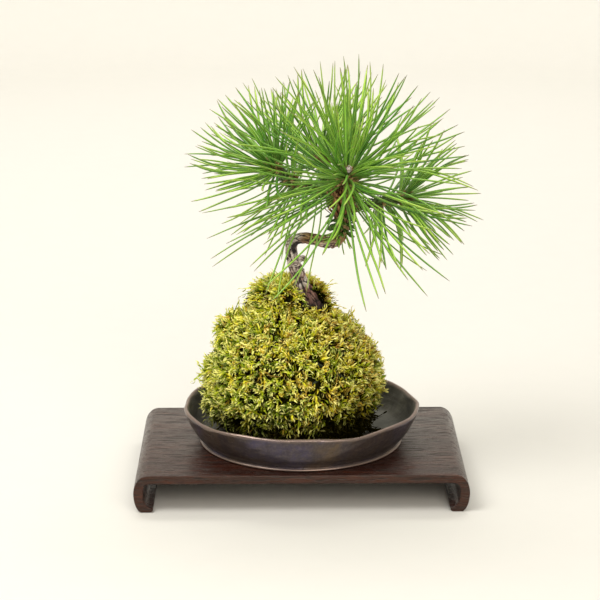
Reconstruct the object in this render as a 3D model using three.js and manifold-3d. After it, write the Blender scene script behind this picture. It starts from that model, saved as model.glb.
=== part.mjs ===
// Kokedama moss ball plant: a young pine rooted in a ball of soil and moss, in a hand-formed dish,
// on a low wooden stand with curled ends. Millimetres, +Z up, the front faces -Y.
import * as THREE from "three";
import { mergeVertices } from "three/addons/utils/BufferGeometryUtils.js";
import Module from "manifold-3d";

const wasm = await Module();
wasm.setup();

// Driving dimensions of the stand
const standWidth = 160;
const standDepth = 102.3;
const standHeight = 18.6;
const boardThickness = 4.3;
const legThickness = 4.6;
const shoulderReach = 7.2;
const legMiddle = 9.3;
const heelReach = 4;
const footWidth = 3.8;
const standEdgeRound = 0.6;
const footHook = { turn: 1.8, lift: 0.2, back: 1.4, rise: 2 };
const footEase = { back: 0.4, rise: 3 };
const legFlat = { low: 7.4, high: 10.8 };
const boardCorner = 4;

// Driving dimensions of the dish
const dishCentre = new THREE.Vector2(0.2, 3.2);
const dishBaseRadius = 50.2;
const dishRimRadius = 57.9;
const dishHeight = 18.3;
const dishFloor = 3.2;
const dishSides = 48;

// How the hand-formed wall strays from round, and its rim from level: waves round it, height, phase
const wallWaves = [[3, 0.6, 0.6], [7, 0.4, 2.1], [11, 0.2, 0]];
const rimWaves = [[4, 0.45, 1.2], [9, 0.3, 0.5]];

// Driving dimensions of the moss ball
const ballCentre = new THREE.Vector3(-3.3, 3.2, 50);
const matBallRadius = 39.5;
const soilBallRadius = 33.5;
const mossUnderSoil = 4;
const soilPlugRise = 5.2;
const soilPlugSpread = 17;
const collarRise = 8;
const collarEdge = [14, 27];
const shoulderDip = 2;
const shoulderPlace = 48;
const shoulderSpread = 14;
const lumpHeight = 0.8;
const rippleHeight = 0.6;
const tuftHeight = 5.4;
const tuftVariety = 0.28;
const tuftLean = 1.9;
const tuftStray = 0.45;
const tuftCornerStray = 0.022;
const tuftDetail = 7;
const ballDetail = 3;
const neckRadius = 7.2;
const neckFlare = 1.2;
const neckPlace = [2.6, 1, 95];
const neckLean = [-0.32, 0, 1];
const threadRadius = 0.6;
const threadLift = 1.3;
const threadSlant = 38;
const threadHeading = 26;
const threadTurns = 3;
const threadSides = 4;
const threadSteps = 32;

// Where the mat stands higher or lower than an even ball: the way there, the height, the spread in
// degrees. First the bulges on the left with the notch between two of them, then the low places.
const matSwells = [
  [[-0.77, 0.17, 0.61], 4.2, 11],
  [[-0.38, 0.25, 0.89], 2.8, 8],
  [[-1, 0.02, 0.08], 2, 9],
  [[-0.5, -0.03, 0.87], -2.5, 8],
  [[-0.52, 0.23, 0.82], -2.5, 8],
  [[-0.5, 0.47, 0.73], -2.5, 8],
  [[-0.93, 0.1, 0.36], -2, 9],
  [[0.42, 0.24, 0.87], -2.2, 14],
  [[0.62, 0.21, 0.76], -1.5, 12],
  [[0.87, 0.13, 0.48], -1.8, 10],
  [[-0.8, -0.16, -0.57], -3.2, 14],
  [[0.17, -0.3, 0.93], -2.5, 11],
];

// Driving dimensions of the needles
const needleWidth = 1.3;
const shootRadius = 2.1;
const budLength = 3.6;
const budRadius = 1.05;

// How pairs of needles grow. Angles are in degrees, and bends and spreads are shares of a length.
const pairRule = {
  firstRoot: 2.4,
  lastRoot: 2.2,
  rootDepth: 0.45,
  rootSpacing: 0.3,
  turnSway: 6,
  tiltSway: 6,
  tiltCurve: 1.15,
  opening: [3.5, 6],
  reachSway: 0.1,
  ownReachSway: 0.04,
  bendWay: 60,
  bend: 0.2,
  lift: 0.03,
  tries: 40,
  loosening: 0.25,
};

// The stations along a needle where it is bent, and its share of full width there
const needleStations = [[0, 0.6], [0.45, 1], [0.85, 0.8], [1, 0]];

// Clearances: flat faces that rest on each other, and faces cut round another piece
const seatGap = 0.1;
const cutGap = 0.35;
const needleGap = 0.3;
const tuftRoom = 1.4 * tuftHeight;
const limbRoom = 1.12;

const degrees = Math.PI / 180;
const goldenAngle = 137.508;
const dishBottom = standHeight + seatGap;
const mossBottom = dishBottom + dishFloor + seatGap;
const soilBottom = mossBottom + mossUnderSoil;

// Colour, roughness and metalness of each piece
const finishes = {
  wood: { color: 0x2a1512, roughness: 0.42, metalness: 0 },
  glaze: { color: 0x45393c, roughness: 0.38, metalness: 0.35 },
  soil: { color: 0x2b2019, roughness: 0.95, metalness: 0 },
  moss: { color: 0x8c8a32, roughness: 0.85, metalness: 0 },
  thread: { color: 0x2f3a22, roughness: 0.8, metalness: 0 },
  bark: { color: 0x6d5847, roughness: 0.9, metalness: 0 },
  needle: { color: 0x4f8a3c, roughness: 0.5, metalness: 0 },
  bud: { color: 0xc9b1a6, roughness: 0.7, metalness: 0 },
};

// The sprays of needles: where each shoot starts, where it points, and how its needles spread
const sprays = {
  apex: {
    base: [20.8, -4, 147.6], axis: [0.11, -0.7, 0.7], shoot: 14, pairs: 64,
    oldReach: 63, youngReach: 49, oldTilt: 104, youngTilt: 22,
  },
  left: {
    base: [-9, 8, 151.5], axis: [-0.72, -0.1, 0.68], shoot: 9, pairs: 30,
    oldReach: 41, youngReach: 40, oldTilt: 78, youngTilt: 10,
  },
  back: {
    base: [11.5, 19, 151.5], axis: [-0.26, 0.42, 0.87], shoot: 9, pairs: 28,
    oldReach: 46, youngReach: 41, oldTilt: 82, youngTilt: 10,
  },
  right: {
    base: [45, 2, 140.5], axis: [0.95, -0.2, 0.2], shoot: 8, pairs: 24,
    oldReach: 38, youngReach: 34, oldTilt: 70, youngTilt: 8,
  },
};

// The trunk from the tip of its tap root to the apex shoot, as x, y, z and radius
const trunkRoute = [
  [-1, 2, 36, 1.4],
  [2, 3.4, 58, 3],
  [6, 2.8, 80, 4.7],
  [4.4, 2.3, 89, 4.4],
  [0.5, 2.1, 97, 4.25],
  [-1.7, 2, 105, 3.2],
  [-4.1, 1.7, 112.5, 3],
  [-3.9, 1.2, 118.2, 3.1],
  [0.6, 0.4, 121.2, 2.8],
  [6.6, -0.4, 121, 2.6],
  [12.4, -0.9, 119.8, 2.7],
  [17.2, -1.2, 121.2, 3.1],
  [20, -1.4, 126.4, 3.2],
  [19.7, -1.5, 133.5, 3.4],
];

// Side roots, branches and snags, as x, y, z and radius from the trunk outwards
const sideRoots = [
  [[4, 3, 76, 3], [14, 8, 70, 2], [20, 12, 56, 1]],
  [[3, 2, 74, 3], [-8, -6, 70, 2], [-18, -10, 58, 1]],
  [[3, 3, 68, 2.6], [-6, 14, 62, 1.8], [-10, 20, 48, 1]],
  [[4, 2, 70, 2.6], [12, -8, 62, 1.8], [14, -14, 46, 1]],
];
const branchRoutes = {
  left: [[19.9, -1.2, 137.5, 1.9], [13, 2.5, 142.3, 1.8], [3, 6.5, 145.4, 1.7]],
  back: [[19.8, -1.2, 135.5, 1.9], [17.4, 6.2, 139.5, 1.8], [14.2, 13.2, 143.8, 1.7]],
  right: [[19.9, -1.2, 133, 1.9], [27, 0.8, 136.2, 1.8], [35.5, 2.6, 138.4, 1.7]],
};
const snagRoutes = [
  [[-4, 1.2, 117, 1.4], [-5.2, 0.8, 121, 1], [-5.4, 0.6, 123.6, 0.5]],
  [[-3, 1.6, 109, 1.6], [1.4, 1, 111.2, 1.4], [2.8, 0.8, 109.2, 0.9]],
  [[16.6, -1.2, 120.4, 2], [15.8, -1.6, 118.1, 1.2], [15.5, -1.8, 117, 0.6]],
];

// Sides and steps of each kind of limb, and its bark ridges: ridges round it, turns along it, height
const limbMesh = {
  trunk: [8, 40],
  root: [4, 3],
  branch: [6, 6],
  snag: [5, 3],
};
const barkRidges = [[3, 14, 0.06], [5, -31, 0.045]];

// Keys that keep the random draws of the moss apart from those of the sprays, which are 0 to 3
const cornerKey = 11;
const tuftKey = 12;

// A repeatable draw from 0 to 1 for a key made of whole numbers
function draw(...key) {
  let state = 2166136261;
  for (const part of key) {
    state = Math.imul(state ^ (part + 1), 16777619) >>> 0;
    state = Math.imul(state ^ (state >>> 15), 2246822519) >>> 0;
    state = (state ^ (state >>> 13)) >>> 0;
  }
  return state / 4294967296;
}

// A repeatable draw from -1 to 1
function sway(...key) {
  return 2 * draw(...key) - 1;
}

// A copy with shared corners merged and triangles of no area left out
function weld(geometry) {
  const bare = geometry.clone();
  bare.deleteAttribute("normal");
  bare.deleteAttribute("uv");
  const merged = mergeVertices(bare, 1e-4);
  const kept = [];
  for (let i = 0; i < merged.index.count; i += 3) {
    const [a, b, c] = [0, 1, 2].map((corner) => merged.index.getX(i + corner));
    if (a !== b && b !== c && c !== a) kept.push(a, b, c);
  }
  merged.setIndex(kept);
  return merged;
}

function toSolid(geometry) {
  const merged = weld(geometry);
  return new wasm.Manifold(new wasm.Mesh({
    numProp: 3,
    vertProperties: new Float32Array(merged.attributes.position.array),
    triVerts: new Uint32Array(merged.index.array),
  }));
}

function toGeometry(solid) {
  const mesh = solid.getMesh();
  const geometry = new THREE.BufferGeometry();
  geometry.setAttribute("position", new THREE.BufferAttribute(mesh.vertProperties, 3));
  geometry.setIndex(new THREE.BufferAttribute(mesh.triVerts, 1));
  geometry.computeVertexNormals();
  return geometry;
}

// All the solids of a list joined in one
function join(solids) {
  return solids.reduce((whole, solid) => whole.add(solid));
}

// The largest body of a solid, without the loose scraps that a cut leaves
function mainBody(solid) {
  const bodies = solid.decompose();
  return bodies.reduce((best, body) => (body.volume() > best.volume() ? body : best));
}

// Moves every corner of a geometry to where a rule says
function reshape(geometry, rule) {
  const position = geometry.attributes.position;
  const point = new THREE.Vector3();
  for (let i = 0; i < position.count; i += 1) {
    point.fromBufferAttribute(position, i);
    const moved = rule(point);
    position.setXYZ(i, moved.x, moved.y, moved.z);
  }
  return geometry;
}

// A closed round bar along a curve, longer by an amount at both ends. Its radius is given along the
// curve and round it.
function bar(curve, radiusAt, sides, steps, lengthen) {
  const frames = curve.computeFrenetFrames(steps, false);
  return reshape(new THREE.CylinderGeometry(1, 1, 1, sides, steps), (point) => {
    const step = Math.round((point.y + 0.5) * steps);
    const along = curve.getUtoTmapping(step / steps);
    const radius = radiusAt(along, Math.atan2(point.z, point.x));
    const reach = { 0: -lengthen, [steps]: lengthen }[step] ?? 0;
    return curve.getPoint(along)
      .addScaledVector(frames.tangents[step], reach)
      .addScaledVector(frames.normals[step], point.x * radius)
      .addScaledVector(frames.binormals[step], -point.z * radius);
  });
}

const vector = ([x, y, z]) => new THREE.Vector3(x, y, z);

// Turns a geometry that stands along Y so that it points along an axis
function pointAlong(geometry, axis) {
  const turn = new THREE.Quaternion().setFromUnitVectors(
    new THREE.Vector3(0, 1, 0), vector(axis).normalize());
  return geometry.applyQuaternion(turn);
}

// A bell that is 1 at the middle and falls off over a width
function bell(distance, width) {
  return Math.exp(-((distance / width) ** 2));
}

// The sum of a few waves round a circle
function waves(list, angle) {
  return list.reduce((sum, [count, height, phase]) => (
    sum + height * Math.cos(count * angle + phase)), 0);
}

// Stand

// The right end of the board's outline, from its top round the shoulder, heel and foot to the inside
function curledEnd() {
  const half = standWidth / 2;
  const footTip = half - heelReach - footWidth;
  const inner = half - legThickness;
  const underside = standHeight - boardThickness;
  const end = new THREE.Path();
  end.moveTo(half - shoulderReach, standHeight);
  end.absellipse(half - shoulderReach, legMiddle, shoulderReach, standHeight - legMiddle,
    90 * degrees, 0, true);
  end.absellipse(half - heelReach, legMiddle, heelReach, legMiddle, 0, -90 * degrees, true);
  end.lineTo(footTip, 0);
  end.quadraticCurveTo(footTip - footHook.turn, footHook.lift, footTip - footHook.back, footHook.rise);
  end.quadraticCurveTo(inner - footEase.back, footEase.rise, inner, legFlat.low);
  end.lineTo(inner, legFlat.high);
  end.quadraticCurveTo(inner, underside, inner - boardCorner, underside);
  return end.getPoints(4);
}

function standGeometry() {
  const right = curledEnd();
  const left = right.map((point) => new THREE.Vector2(-point.x, point.y)).reverse();
  const outline = new THREE.Shape([...right, ...left]);
  const geometry = new THREE.ExtrudeGeometry(outline, {
    depth: standDepth - 2 * standEdgeRound,
    bevelEnabled: true,
    bevelThickness: standEdgeRound,
    bevelSize: standEdgeRound,
    bevelOffset: -standEdgeRound,
    bevelSegments: 1,
  });
  geometry.rotateX(90 * degrees);
  geometry.translate(0, standDepth / 2 - standEdgeRound, 0);
  return geometry;
}

// Dish

// Half of the dish's section, from the middle of its base out, up over the rim and back inside
function dishProfile() {
  const foot = dishBaseRadius;
  const rim = dishRimRadius;
  const top = dishHeight;
  return [
    [0, 0],
    [foot - 0.6, 0],
    [foot, 0.6],
    [foot - 0.4, 1.3],
    [foot - 0.9, 1.7],
    [foot + 2.3, 5.6],
    [foot + 5.1, 10.6],
    [foot + 7, 15.2],
    [rim, top - 1],
    [rim - 0.4, top - 0.2],
    [rim - 1.2, top],
    [rim - 1.9, top - 0.7],
    [foot + 4.7, 15],
    [foot + 2.1, 9.4],
    [foot - 1.1, 5.4],
    [foot - 4.6, dishFloor + 0.5],
    [foot - 9, dishFloor],
    [0, dishFloor],
  ].map(([radius, height]) => new THREE.Vector2(radius, height));
}

function dishGeometry() {
  const geometry = new THREE.LatheGeometry(dishProfile(), dishSides);
  geometry.rotateX(90 * degrees);
  return reshape(geometry, (point) => {
    const angle = Math.atan2(point.y, point.x);
    const radius = Math.hypot(point.x, point.y);
    const inWall = THREE.MathUtils.smoothstep(radius, 0.8 * dishBaseRadius, dishBaseRadius + 2);
    const strength = inWall * Math.max(0, point.z - dishFloor) / (dishHeight - dishFloor);
    const stretch = 1 + strength * waves(wallWaves, angle) / Math.max(radius, 1);
    const lift = strength * waves(rimWaves, angle);
    return new THREE.Vector3(point.x * stretch, point.y * stretch, point.z + lift);
  });
}

// Moss ball

const trunkWay = new THREE.Vector3(7.9, -0.4, 40).normalize();
const collarWay = new THREE.Vector3(-1.3, 3, 48).normalize();

// The radius of the moss mat, without its tufts, in a direction from the ball's centre
function matRadius(way) {
  const fromTop = way.angleTo(collarWay) / degrees;
  const lumps = lumpHeight * Math.sin(5.2 * way.x + 2.1 * way.z + 0.4)
    * Math.sin(4.3 * way.y - 3.1 * way.z);
  const ripples = rippleHeight * Math.sin(11.3 * way.x - 4.2 * way.y)
    * Math.sin(9.7 * way.z + 6.1 * way.y);
  const collar = collarRise * (1 - THREE.MathUtils.smoothstep(fromTop, ...collarEdge));
  const shoulder = shoulderDip * bell(fromTop - shoulderPlace, shoulderSpread);
  const swells = matSwells.reduce((sum, [place, height, spread]) => (
    sum + height * bell(way.angleTo(vector(place)) / degrees, spread)), 0);
  return matBallRadius + lumps + ripples + collar - shoulder + swells;
}

// The radius of the soil ball, which rises in a plug round the foot of the trunk
function soilRadius(way) {
  return soilBallRadius + soilPlugRise * bell(way.angleTo(trunkWay) / degrees, soilPlugSpread);
}

// The soil ball's own form, grown on all sides by an amount
function soilForm(grown) {
  const low = soilBottom - grown;
  return toSolid(reshape(new THREE.IcosahedronGeometry(1, ballDetail), (point) => {
    const way = point.clone().normalize();
    const placed = way.clone().multiplyScalar(soilRadius(way) + grown).add(ballCentre);
    placed.z = Math.max(placed.z, low);
    return placed;
  }));
}

// The planes that the turns of the binding thread lie in
const threadPlanes = Array.from({ length: threadTurns }, (_, turn) => {
  const heading = ((turn / threadTurns) * 360 + threadHeading) * degrees;
  const axis = new THREE.Vector3(Math.cos(heading), Math.sin(heading), 0);
  return new THREE.Quaternion().setFromAxisAngle(axis, threadSlant * degrees);
});

// Whether a face of the mat lies under the thread, which presses its moss flat
function isPressed(ways) {
  const room = (threadRadius + 3 * cutGap) / matBallRadius;
  return threadPlanes.some((plane) => {
    const side = new THREE.Vector3(0, 0, 1).applyQuaternion(plane);
    const places = ways.map((way) => way.dot(side));
    return Math.min(...places) < room && Math.max(...places) > -room;
  });
}

// A repeatable draw of a vector with each part from -1 to 1
function swayVector(...key) {
  return new THREE.Vector3(sway(...key, 0), sway(...key, 1), sway(...key, 2));
}

// The way the moss has grown at a direction from the ball's centre: it swirls slowly over the ball
function mossDrift(way) {
  return new THREE.Vector3(
    Math.sin(4 * way.y + 1),
    Math.cos(4 * way.x - 2),
    0.7 * Math.sin(3 * way.z + 5 * way.x),
  );
}

// The tip of the tuft over the middle of a face
function tuftTip(way, face) {
  const height = tuftHeight * (1 + tuftVariety * sway(tuftKey, face, 3));
  const drift = mossDrift(way).addScaledVector(swayVector(tuftKey, face), tuftStray);
  drift.multiplyScalar(tuftLean);
  drift.addScaledVector(way, -drift.dot(way));
  return way.clone().multiplyScalar(matRadius(way) + height).add(drift).add(ballCentre);
}

// The mat's outside: the faces of a fine ball are raised to leaning, pointed tufts
function tuftedForm() {
  const ball = weld(new THREE.IcosahedronGeometry(1, tuftDetail));
  const corners = ball.attributes.position;
  const points = [];
  const ways = [];
  for (let i = 0; i < corners.count; i += 1) {
    const way = new THREE.Vector3().fromBufferAttribute(corners, i);
    way.addScaledVector(swayVector(cornerKey, i), tuftCornerStray).normalize();
    ways.push(way);
    points.push(way.clone().multiplyScalar(matRadius(way)).add(ballCentre));
  }
  const faces = [];
  for (let i = 0; i < ball.index.count; i += 3) {
    const [a, b, c] = [0, 1, 2].map((corner) => ball.index.getX(i + corner));
    if (isPressed([ways[a], ways[b], ways[c]])) {
      faces.push(a, b, c);
      continue;
    }
    const way = ways[a].clone().add(ways[b]).add(ways[c]).normalize();
    const tip = points.length;
    points.push(tuftTip(way, i));
    faces.push(a, b, tip, b, c, tip, c, a, tip);
  }
  const geometry = new THREE.BufferGeometry().setFromPoints(points);
  geometry.setIndex(faces);
  return toSolid(geometry);
}

// The thread that binds the mat: slanted loops that cross, each lying on the pressed moss
function threadForm() {
  const ringRadius = 10 * threadRadius;
  return join(threadPlanes.map((plane) => {
    const side = new THREE.Vector3(0, 0, 1).applyQuaternion(plane);
    const ring = new THREE.TorusGeometry(ringRadius, threadRadius, threadSides, threadSteps);
    return toSolid(reshape(ring, (point) => {
      const way = new THREE.Vector3(point.x, point.y, 0).normalize().applyQuaternion(plane);
      const outward = Math.hypot(point.x, point.y) - ringRadius + threadLift;
      return way.clone().multiplyScalar(matRadius(way) + outward)
        .addScaledVector(side, point.z).add(ballCentre);
    }));
  }));
}

// The opening in the moss round the foot of the trunk, where the soil shows
function neckForm() {
  const height = 34;
  const sides = 14;
  const neck = new THREE.CylinderGeometry(neckRadius + neckFlare, neckRadius, height, sides);
  return toSolid(pointAlong(neck, neckLean).translate(...neckPlace));
}

// What lies below a level, to cut the flat underside
function below(level) {
  const size = 300;
  return toSolid(new THREE.BoxGeometry(size, size, size).translate(0, 0, level - size / 2));
}

// Pine wood

// A smooth route through points that each hold x, y, z and a radius
function route(points) {
  return new THREE.CatmullRomCurve3(points.map(([x, y, z]) => new THREE.Vector3(x, y, z)));
}

// The radius between the points of a route
function radiusBetween(points, along) {
  const place = along * (points.length - 1);
  const index = Math.min(Math.floor(place), points.length - 2);
  return THREE.MathUtils.lerp(points[index][3], points[index + 1][3], place - index);
}

// One limb of wood with shallow bark ridges, grown on all sides by an amount
function limbForm(points, kind, grown) {
  const [sides, steps] = limbMesh[kind];
  const ridged = (along, angle) => {
    const ridges = barkRidges.reduce((sum, [count, turns, height]) => (
      sum + height * Math.sin(count * angle + turns * along)), 0);
    return radiusBetween(points, along) * (1 + ridges) + grown;
  };
  return toSolid(bar(route(points), ridged, sides, steps, grown));
}

// The last points of a limb, which lead straight into the shoot of a spray and stop just short of it
function leadIn(spray, radius) {
  const axis = vector(spray.axis).normalize();
  return [5, cutGap].map((back) => {
    const point = vector(spray.base).addScaledVector(axis, -back);
    return [point.x, point.y, point.z, radius];
  });
}

const trunkLimb = [...trunkRoute, ...leadIn(sprays.apex, 2.6)];
const branchLimbs = Object.entries(branchRoutes).map(([name, points]) => (
  [...points, ...leadIn(sprays[name], 1.7)]));

// The trunk, its tap root and its side roots, grown on all sides by an amount
function trunkForm(grown) {
  return join([
    limbForm(trunkLimb, "trunk", grown),
    ...sideRoots.map((points) => limbForm(points, "root", grown)),
  ]);
}

function woodForm() {
  return join([
    trunkForm(0),
    ...branchLimbs.map((points) => limbForm(points, "branch", 0)),
    ...snagRoutes.map((points) => limbForm(points, "snag", 0)),
  ]);
}

// Needles

// The shortest distance between two straight pieces, each with a start and an end
function pieceDistance(first, second) {
  const u = first.end.clone().sub(first.start);
  const v = second.end.clone().sub(second.start);
  const w = first.start.clone().sub(second.start);
  const [uu, uv, vv, uw, vw] = [u.dot(u), u.dot(v), v.dot(v), u.dot(w), v.dot(w)];
  const spread = uu * vv - uv * uv;
  let s = spread > 1e-9 ? THREE.MathUtils.clamp((uv * vw - vv * uw) / spread, 0, 1) : 0;
  const t = THREE.MathUtils.clamp((uv * s + vw) / vv, 0, 1);
  s = THREE.MathUtils.clamp((uv * t - uw) / uu, 0, 1);
  return w.addScaledVector(u, s).addScaledVector(v, -t).length();
}

// Straight pieces that stand for a limb when needles are kept clear of it
function limbPieces(points) {
  const curve = route(points);
  const stepsPerPoint = 6;
  const steps = stepsPerPoint * points.length;
  const pieces = [];
  for (let i = 0; i < steps; i += 1) {
    pieces.push({
      start: curve.getPoint(i / steps),
      end: curve.getPoint((i + 1) / steps),
      radius: limbRoom * radiusBetween(points, i / steps),
    });
  }
  return pieces;
}

// Whether a point stays outside the moss and its tufts
function aboveMoss(point) {
  const way = point.clone().sub(ballCentre);
  return way.length() > matRadius(way.clone().normalize()) + tuftRoom;
}

// One needle as a curve from its root in the shoot to its tip
function needleCurve(root, way, length, bend) {
  const middle = root.clone().addScaledVector(way, 0.5 * length);
  const tip = root.clone().addScaledVector(way, length).add(bend);
  return new THREE.QuadraticBezierCurve3(root, middle, tip);
}

function needlePieces(curve, spray) {
  return needleStations.slice(1).map(([along], index) => ({
    start: curve.getPoint(needleStations[index][0]),
    end: curve.getPoint(along),
    radius: needleWidth / 2,
    spray,
    rooted: index === 0,
  }));
}

// Needles of one spray may meet near their roots. Everything else stays clear.
function isClear(pieces, taken) {
  return pieces.every((piece) => aboveMoss(piece.end) && taken.every((other) => {
    if (piece.spray === other.spray && (piece.rooted || other.rooted)) return true;
    return pieceDistance(piece, other) > piece.radius + other.radius + needleGap;
  }));
}

// The way a pair of needles points, and its root, at a share of the way up the shoot
function pairPlace(spray, along, turn, tiltStray) {
  const { lerp } = THREE.MathUtils;
  const axis = vector(spray.axis).normalize();
  const across = new THREE.Vector3(0, 1, 0).cross(axis).normalize();
  const tilt = lerp(spray.oldTilt, spray.youngTilt, along ** pairRule.tiltCurve) + tiltStray;
  const side = across.applyAxisAngle(axis, turn * degrees);
  const way = axis.clone().multiplyScalar(Math.cos(tilt * degrees))
    .addScaledVector(side, Math.sin(tilt * degrees));
  const climb = lerp(pairRule.firstRoot, spray.shoot - pairRule.lastRoot, along);
  const root = vector(spray.base).addScaledVector(axis, climb)
    .addScaledVector(side, pairRule.rootDepth * shootRadius);
  return { axis, way, root };
}

// One try at placing a pair of needles on a shoot. Each later try strays further.
function pairCurves(spray, seed, index, attempt) {
  const key = [seed, index, attempt];
  const along = index / (spray.pairs - 1);
  const loosen = 1 + pairRule.loosening * attempt;
  const turn = index * goldenAngle + loosen * pairRule.turnSway * sway(...key, 1);
  const tiltStray = loosen * pairRule.tiltSway * sway(...key, 2);
  const { axis, way, root } = pairPlace(spray, along, turn, tiltStray);
  const split = way.clone().cross(axis).normalize();
  split.applyAxisAngle(way, 180 * degrees * draw(...key, 3));
  const reach = THREE.MathUtils.lerp(spray.oldReach, spray.youngReach, along);
  const length = reach * (1 + pairRule.reachSway * sway(...key, 4));
  const bend = split.clone().applyAxisAngle(way, pairRule.bendWay * degrees)
    .multiplyScalar(pairRule.bend * length * sway(...key, 5));
  bend.z += pairRule.lift * length;
  const opening = THREE.MathUtils.lerp(...pairRule.opening, draw(...key, 6));
  return [-1, 1].map((hand) => {
    const own = way.clone().addScaledVector(split, hand * Math.tan(opening * degrees)).normalize();
    const start = root.clone().addScaledVector(split, hand * pairRule.rootSpacing);
    const ownLength = length * (1 + pairRule.ownReachSway * sway(...key, 7 + hand));
    return needleCurve(start, own, ownLength, bend);
  });
}

// Every needle of every spray, each pair tried again until it is clear of all others
function placeNeedles() {
  const taken = [trunkLimb, ...branchLimbs].flatMap(limbPieces);
  const placed = {};
  for (const spray of Object.values(sprays)) {
    const axis = vector(spray.axis).normalize();
    const tip = vector(spray.base).addScaledVector(axis, spray.shoot);
    taken.push({ start: tip, end: tip.clone().addScaledVector(axis, budLength), radius: budRadius });
  }
  Object.entries(sprays).forEach(([name, spray], seed) => {
    placed[name] = [];
    for (let index = 0; index < spray.pairs; index += 1) {
      for (let attempt = 0; attempt < pairRule.tries; attempt += 1) {
        const curves = pairCurves(spray, seed, index, attempt);
        const pieces = curves.map((curve) => needlePieces(curve, name));
        if (pieces.every((needle) => isClear(needle, taken))) {
          placed[name].push(...curves);
          taken.push(...pieces.flat());
          break;
        }
      }
    }
  });
  return placed;
}

// The radius along a needle, from its stations
function needleRadius(along) {
  const next = Math.max(1, needleStations.findIndex(([place]) => place >= along - 1e-6));
  const [from, before] = needleStations[next - 1];
  const [to, after] = needleStations[next];
  return (needleWidth / 2) * THREE.MathUtils.mapLinear(along, from, to, before, after);
}

// A three-sided needle, bent at its stations and pointed at its tip
function needleForm(curve) {
  const last = needleStations.length - 1;
  const frames = curve.computeFrenetFrames(last, false);
  return toSolid(reshape(new THREE.CylinderGeometry(1, 1, 1, 3, last), (point) => {
    const step = Math.round((point.y + 0.5) * last);
    const [along] = needleStations[step];
    const radius = needleRadius(along);
    return curve.getPoint(along)
      .addScaledVector(frames.normals[step], point.x * radius)
      .addScaledVector(frames.binormals[step], -point.z * radius);
  }));
}

// A turned form along an axis. Its profile holds shares of its greatest radius and of its length.
function turnedGeometry(profile, radius, length, axis) {
  const sides = 8;
  const points = profile.map(([out, up]) => new THREE.Vector2(out * radius, up * length));
  return pointAlong(new THREE.LatheGeometry(points, sides), axis);
}

// The slim shoot that carries a spray, narrowing to its tip
function shootForm(spray) {
  const profile = [[0, 0], [0.85, 0], [1, 0.2], [0.9, 0.75], [0.5, 1], [0, 1]];
  const shoot = turnedGeometry(profile, shootRadius, spray.shoot, spray.axis);
  return toSolid(shoot.translate(...spray.base));
}

// The bud at the tip of a shoot
function budGeometry(spray) {
  const profile = [[0, 0], [0.8, 0], [1, 0.35], [0.7, 0.75], [0, 1]];
  const seat = vector(spray.base)
    .addScaledVector(vector(spray.axis).normalize(), spray.shoot + seatGap);
  return turnedGeometry(profile, budRadius, budLength, spray.axis).translate(...seat);
}

// Assembly

const plant = new THREE.Group();

function addPiece(name, geometry, finish) {
  const mesh = new THREE.Mesh(weld(geometry), new THREE.MeshStandardMaterial(finishes[finish]));
  mesh.name = name;
  plant.add(mesh);
  return mesh;
}

addPiece("stand", standGeometry(), "wood");
addPiece("dish", dishGeometry(), "glaze").position.set(dishCentre.x, dishCentre.y, dishBottom);

const soil = soilForm(0).subtract(trunkForm(cutGap));
addPiece("soil_ball", toGeometry(mainBody(soil)), "soil");

const moss = tuftedForm().subtract(below(mossBottom)).subtract(soilForm(cutGap))
  .subtract(neckForm());
addPiece("moss_mat", toGeometry(mainBody(moss)), "moss");
addPiece("binding_thread", toGeometry(threadForm()), "thread");
addPiece("pine_trunk", toGeometry(woodForm()), "bark");

const needles = placeNeedles();
for (const [name, spray] of Object.entries(sprays)) {
  const form = join([shootForm(spray), ...needles[name].map(needleForm)]);
  addPiece(`needles_${name}`, toGeometry(mainBody(form)), "needle");
}
addPiece("bud_apex", budGeometry(sprays.apex), "bud");

// The origin is on the floor, under the middle of the whole outline seen from above
const middle = new THREE.Box3().setFromObject(plant).getCenter(new THREE.Vector3());
plant.position.set(-middle.x, -middle.y, 0);

export default plant;
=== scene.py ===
# Looks of the moss ball plant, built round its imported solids. Sizes are in millimetres in the part's
# own frame, whose origin is under the middle of the stand, and go to metres when a mesh is made.
import math

import bmesh
import bpy
import numpy as np
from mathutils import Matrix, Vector, noise


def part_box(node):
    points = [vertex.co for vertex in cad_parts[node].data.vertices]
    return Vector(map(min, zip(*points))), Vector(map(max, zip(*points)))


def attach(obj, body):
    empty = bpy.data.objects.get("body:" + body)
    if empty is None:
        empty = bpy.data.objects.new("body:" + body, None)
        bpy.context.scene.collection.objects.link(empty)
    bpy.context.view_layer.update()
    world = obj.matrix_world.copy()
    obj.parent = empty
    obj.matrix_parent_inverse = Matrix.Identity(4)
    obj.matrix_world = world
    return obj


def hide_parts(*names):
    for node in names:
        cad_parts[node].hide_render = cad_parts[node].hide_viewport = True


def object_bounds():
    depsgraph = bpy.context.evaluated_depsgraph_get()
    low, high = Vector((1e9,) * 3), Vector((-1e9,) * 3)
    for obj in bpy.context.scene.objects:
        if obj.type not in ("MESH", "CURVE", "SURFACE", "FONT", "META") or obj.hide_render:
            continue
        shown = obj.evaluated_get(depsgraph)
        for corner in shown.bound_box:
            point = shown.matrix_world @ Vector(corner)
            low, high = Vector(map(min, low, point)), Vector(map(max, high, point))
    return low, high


MM = 0.001

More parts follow.
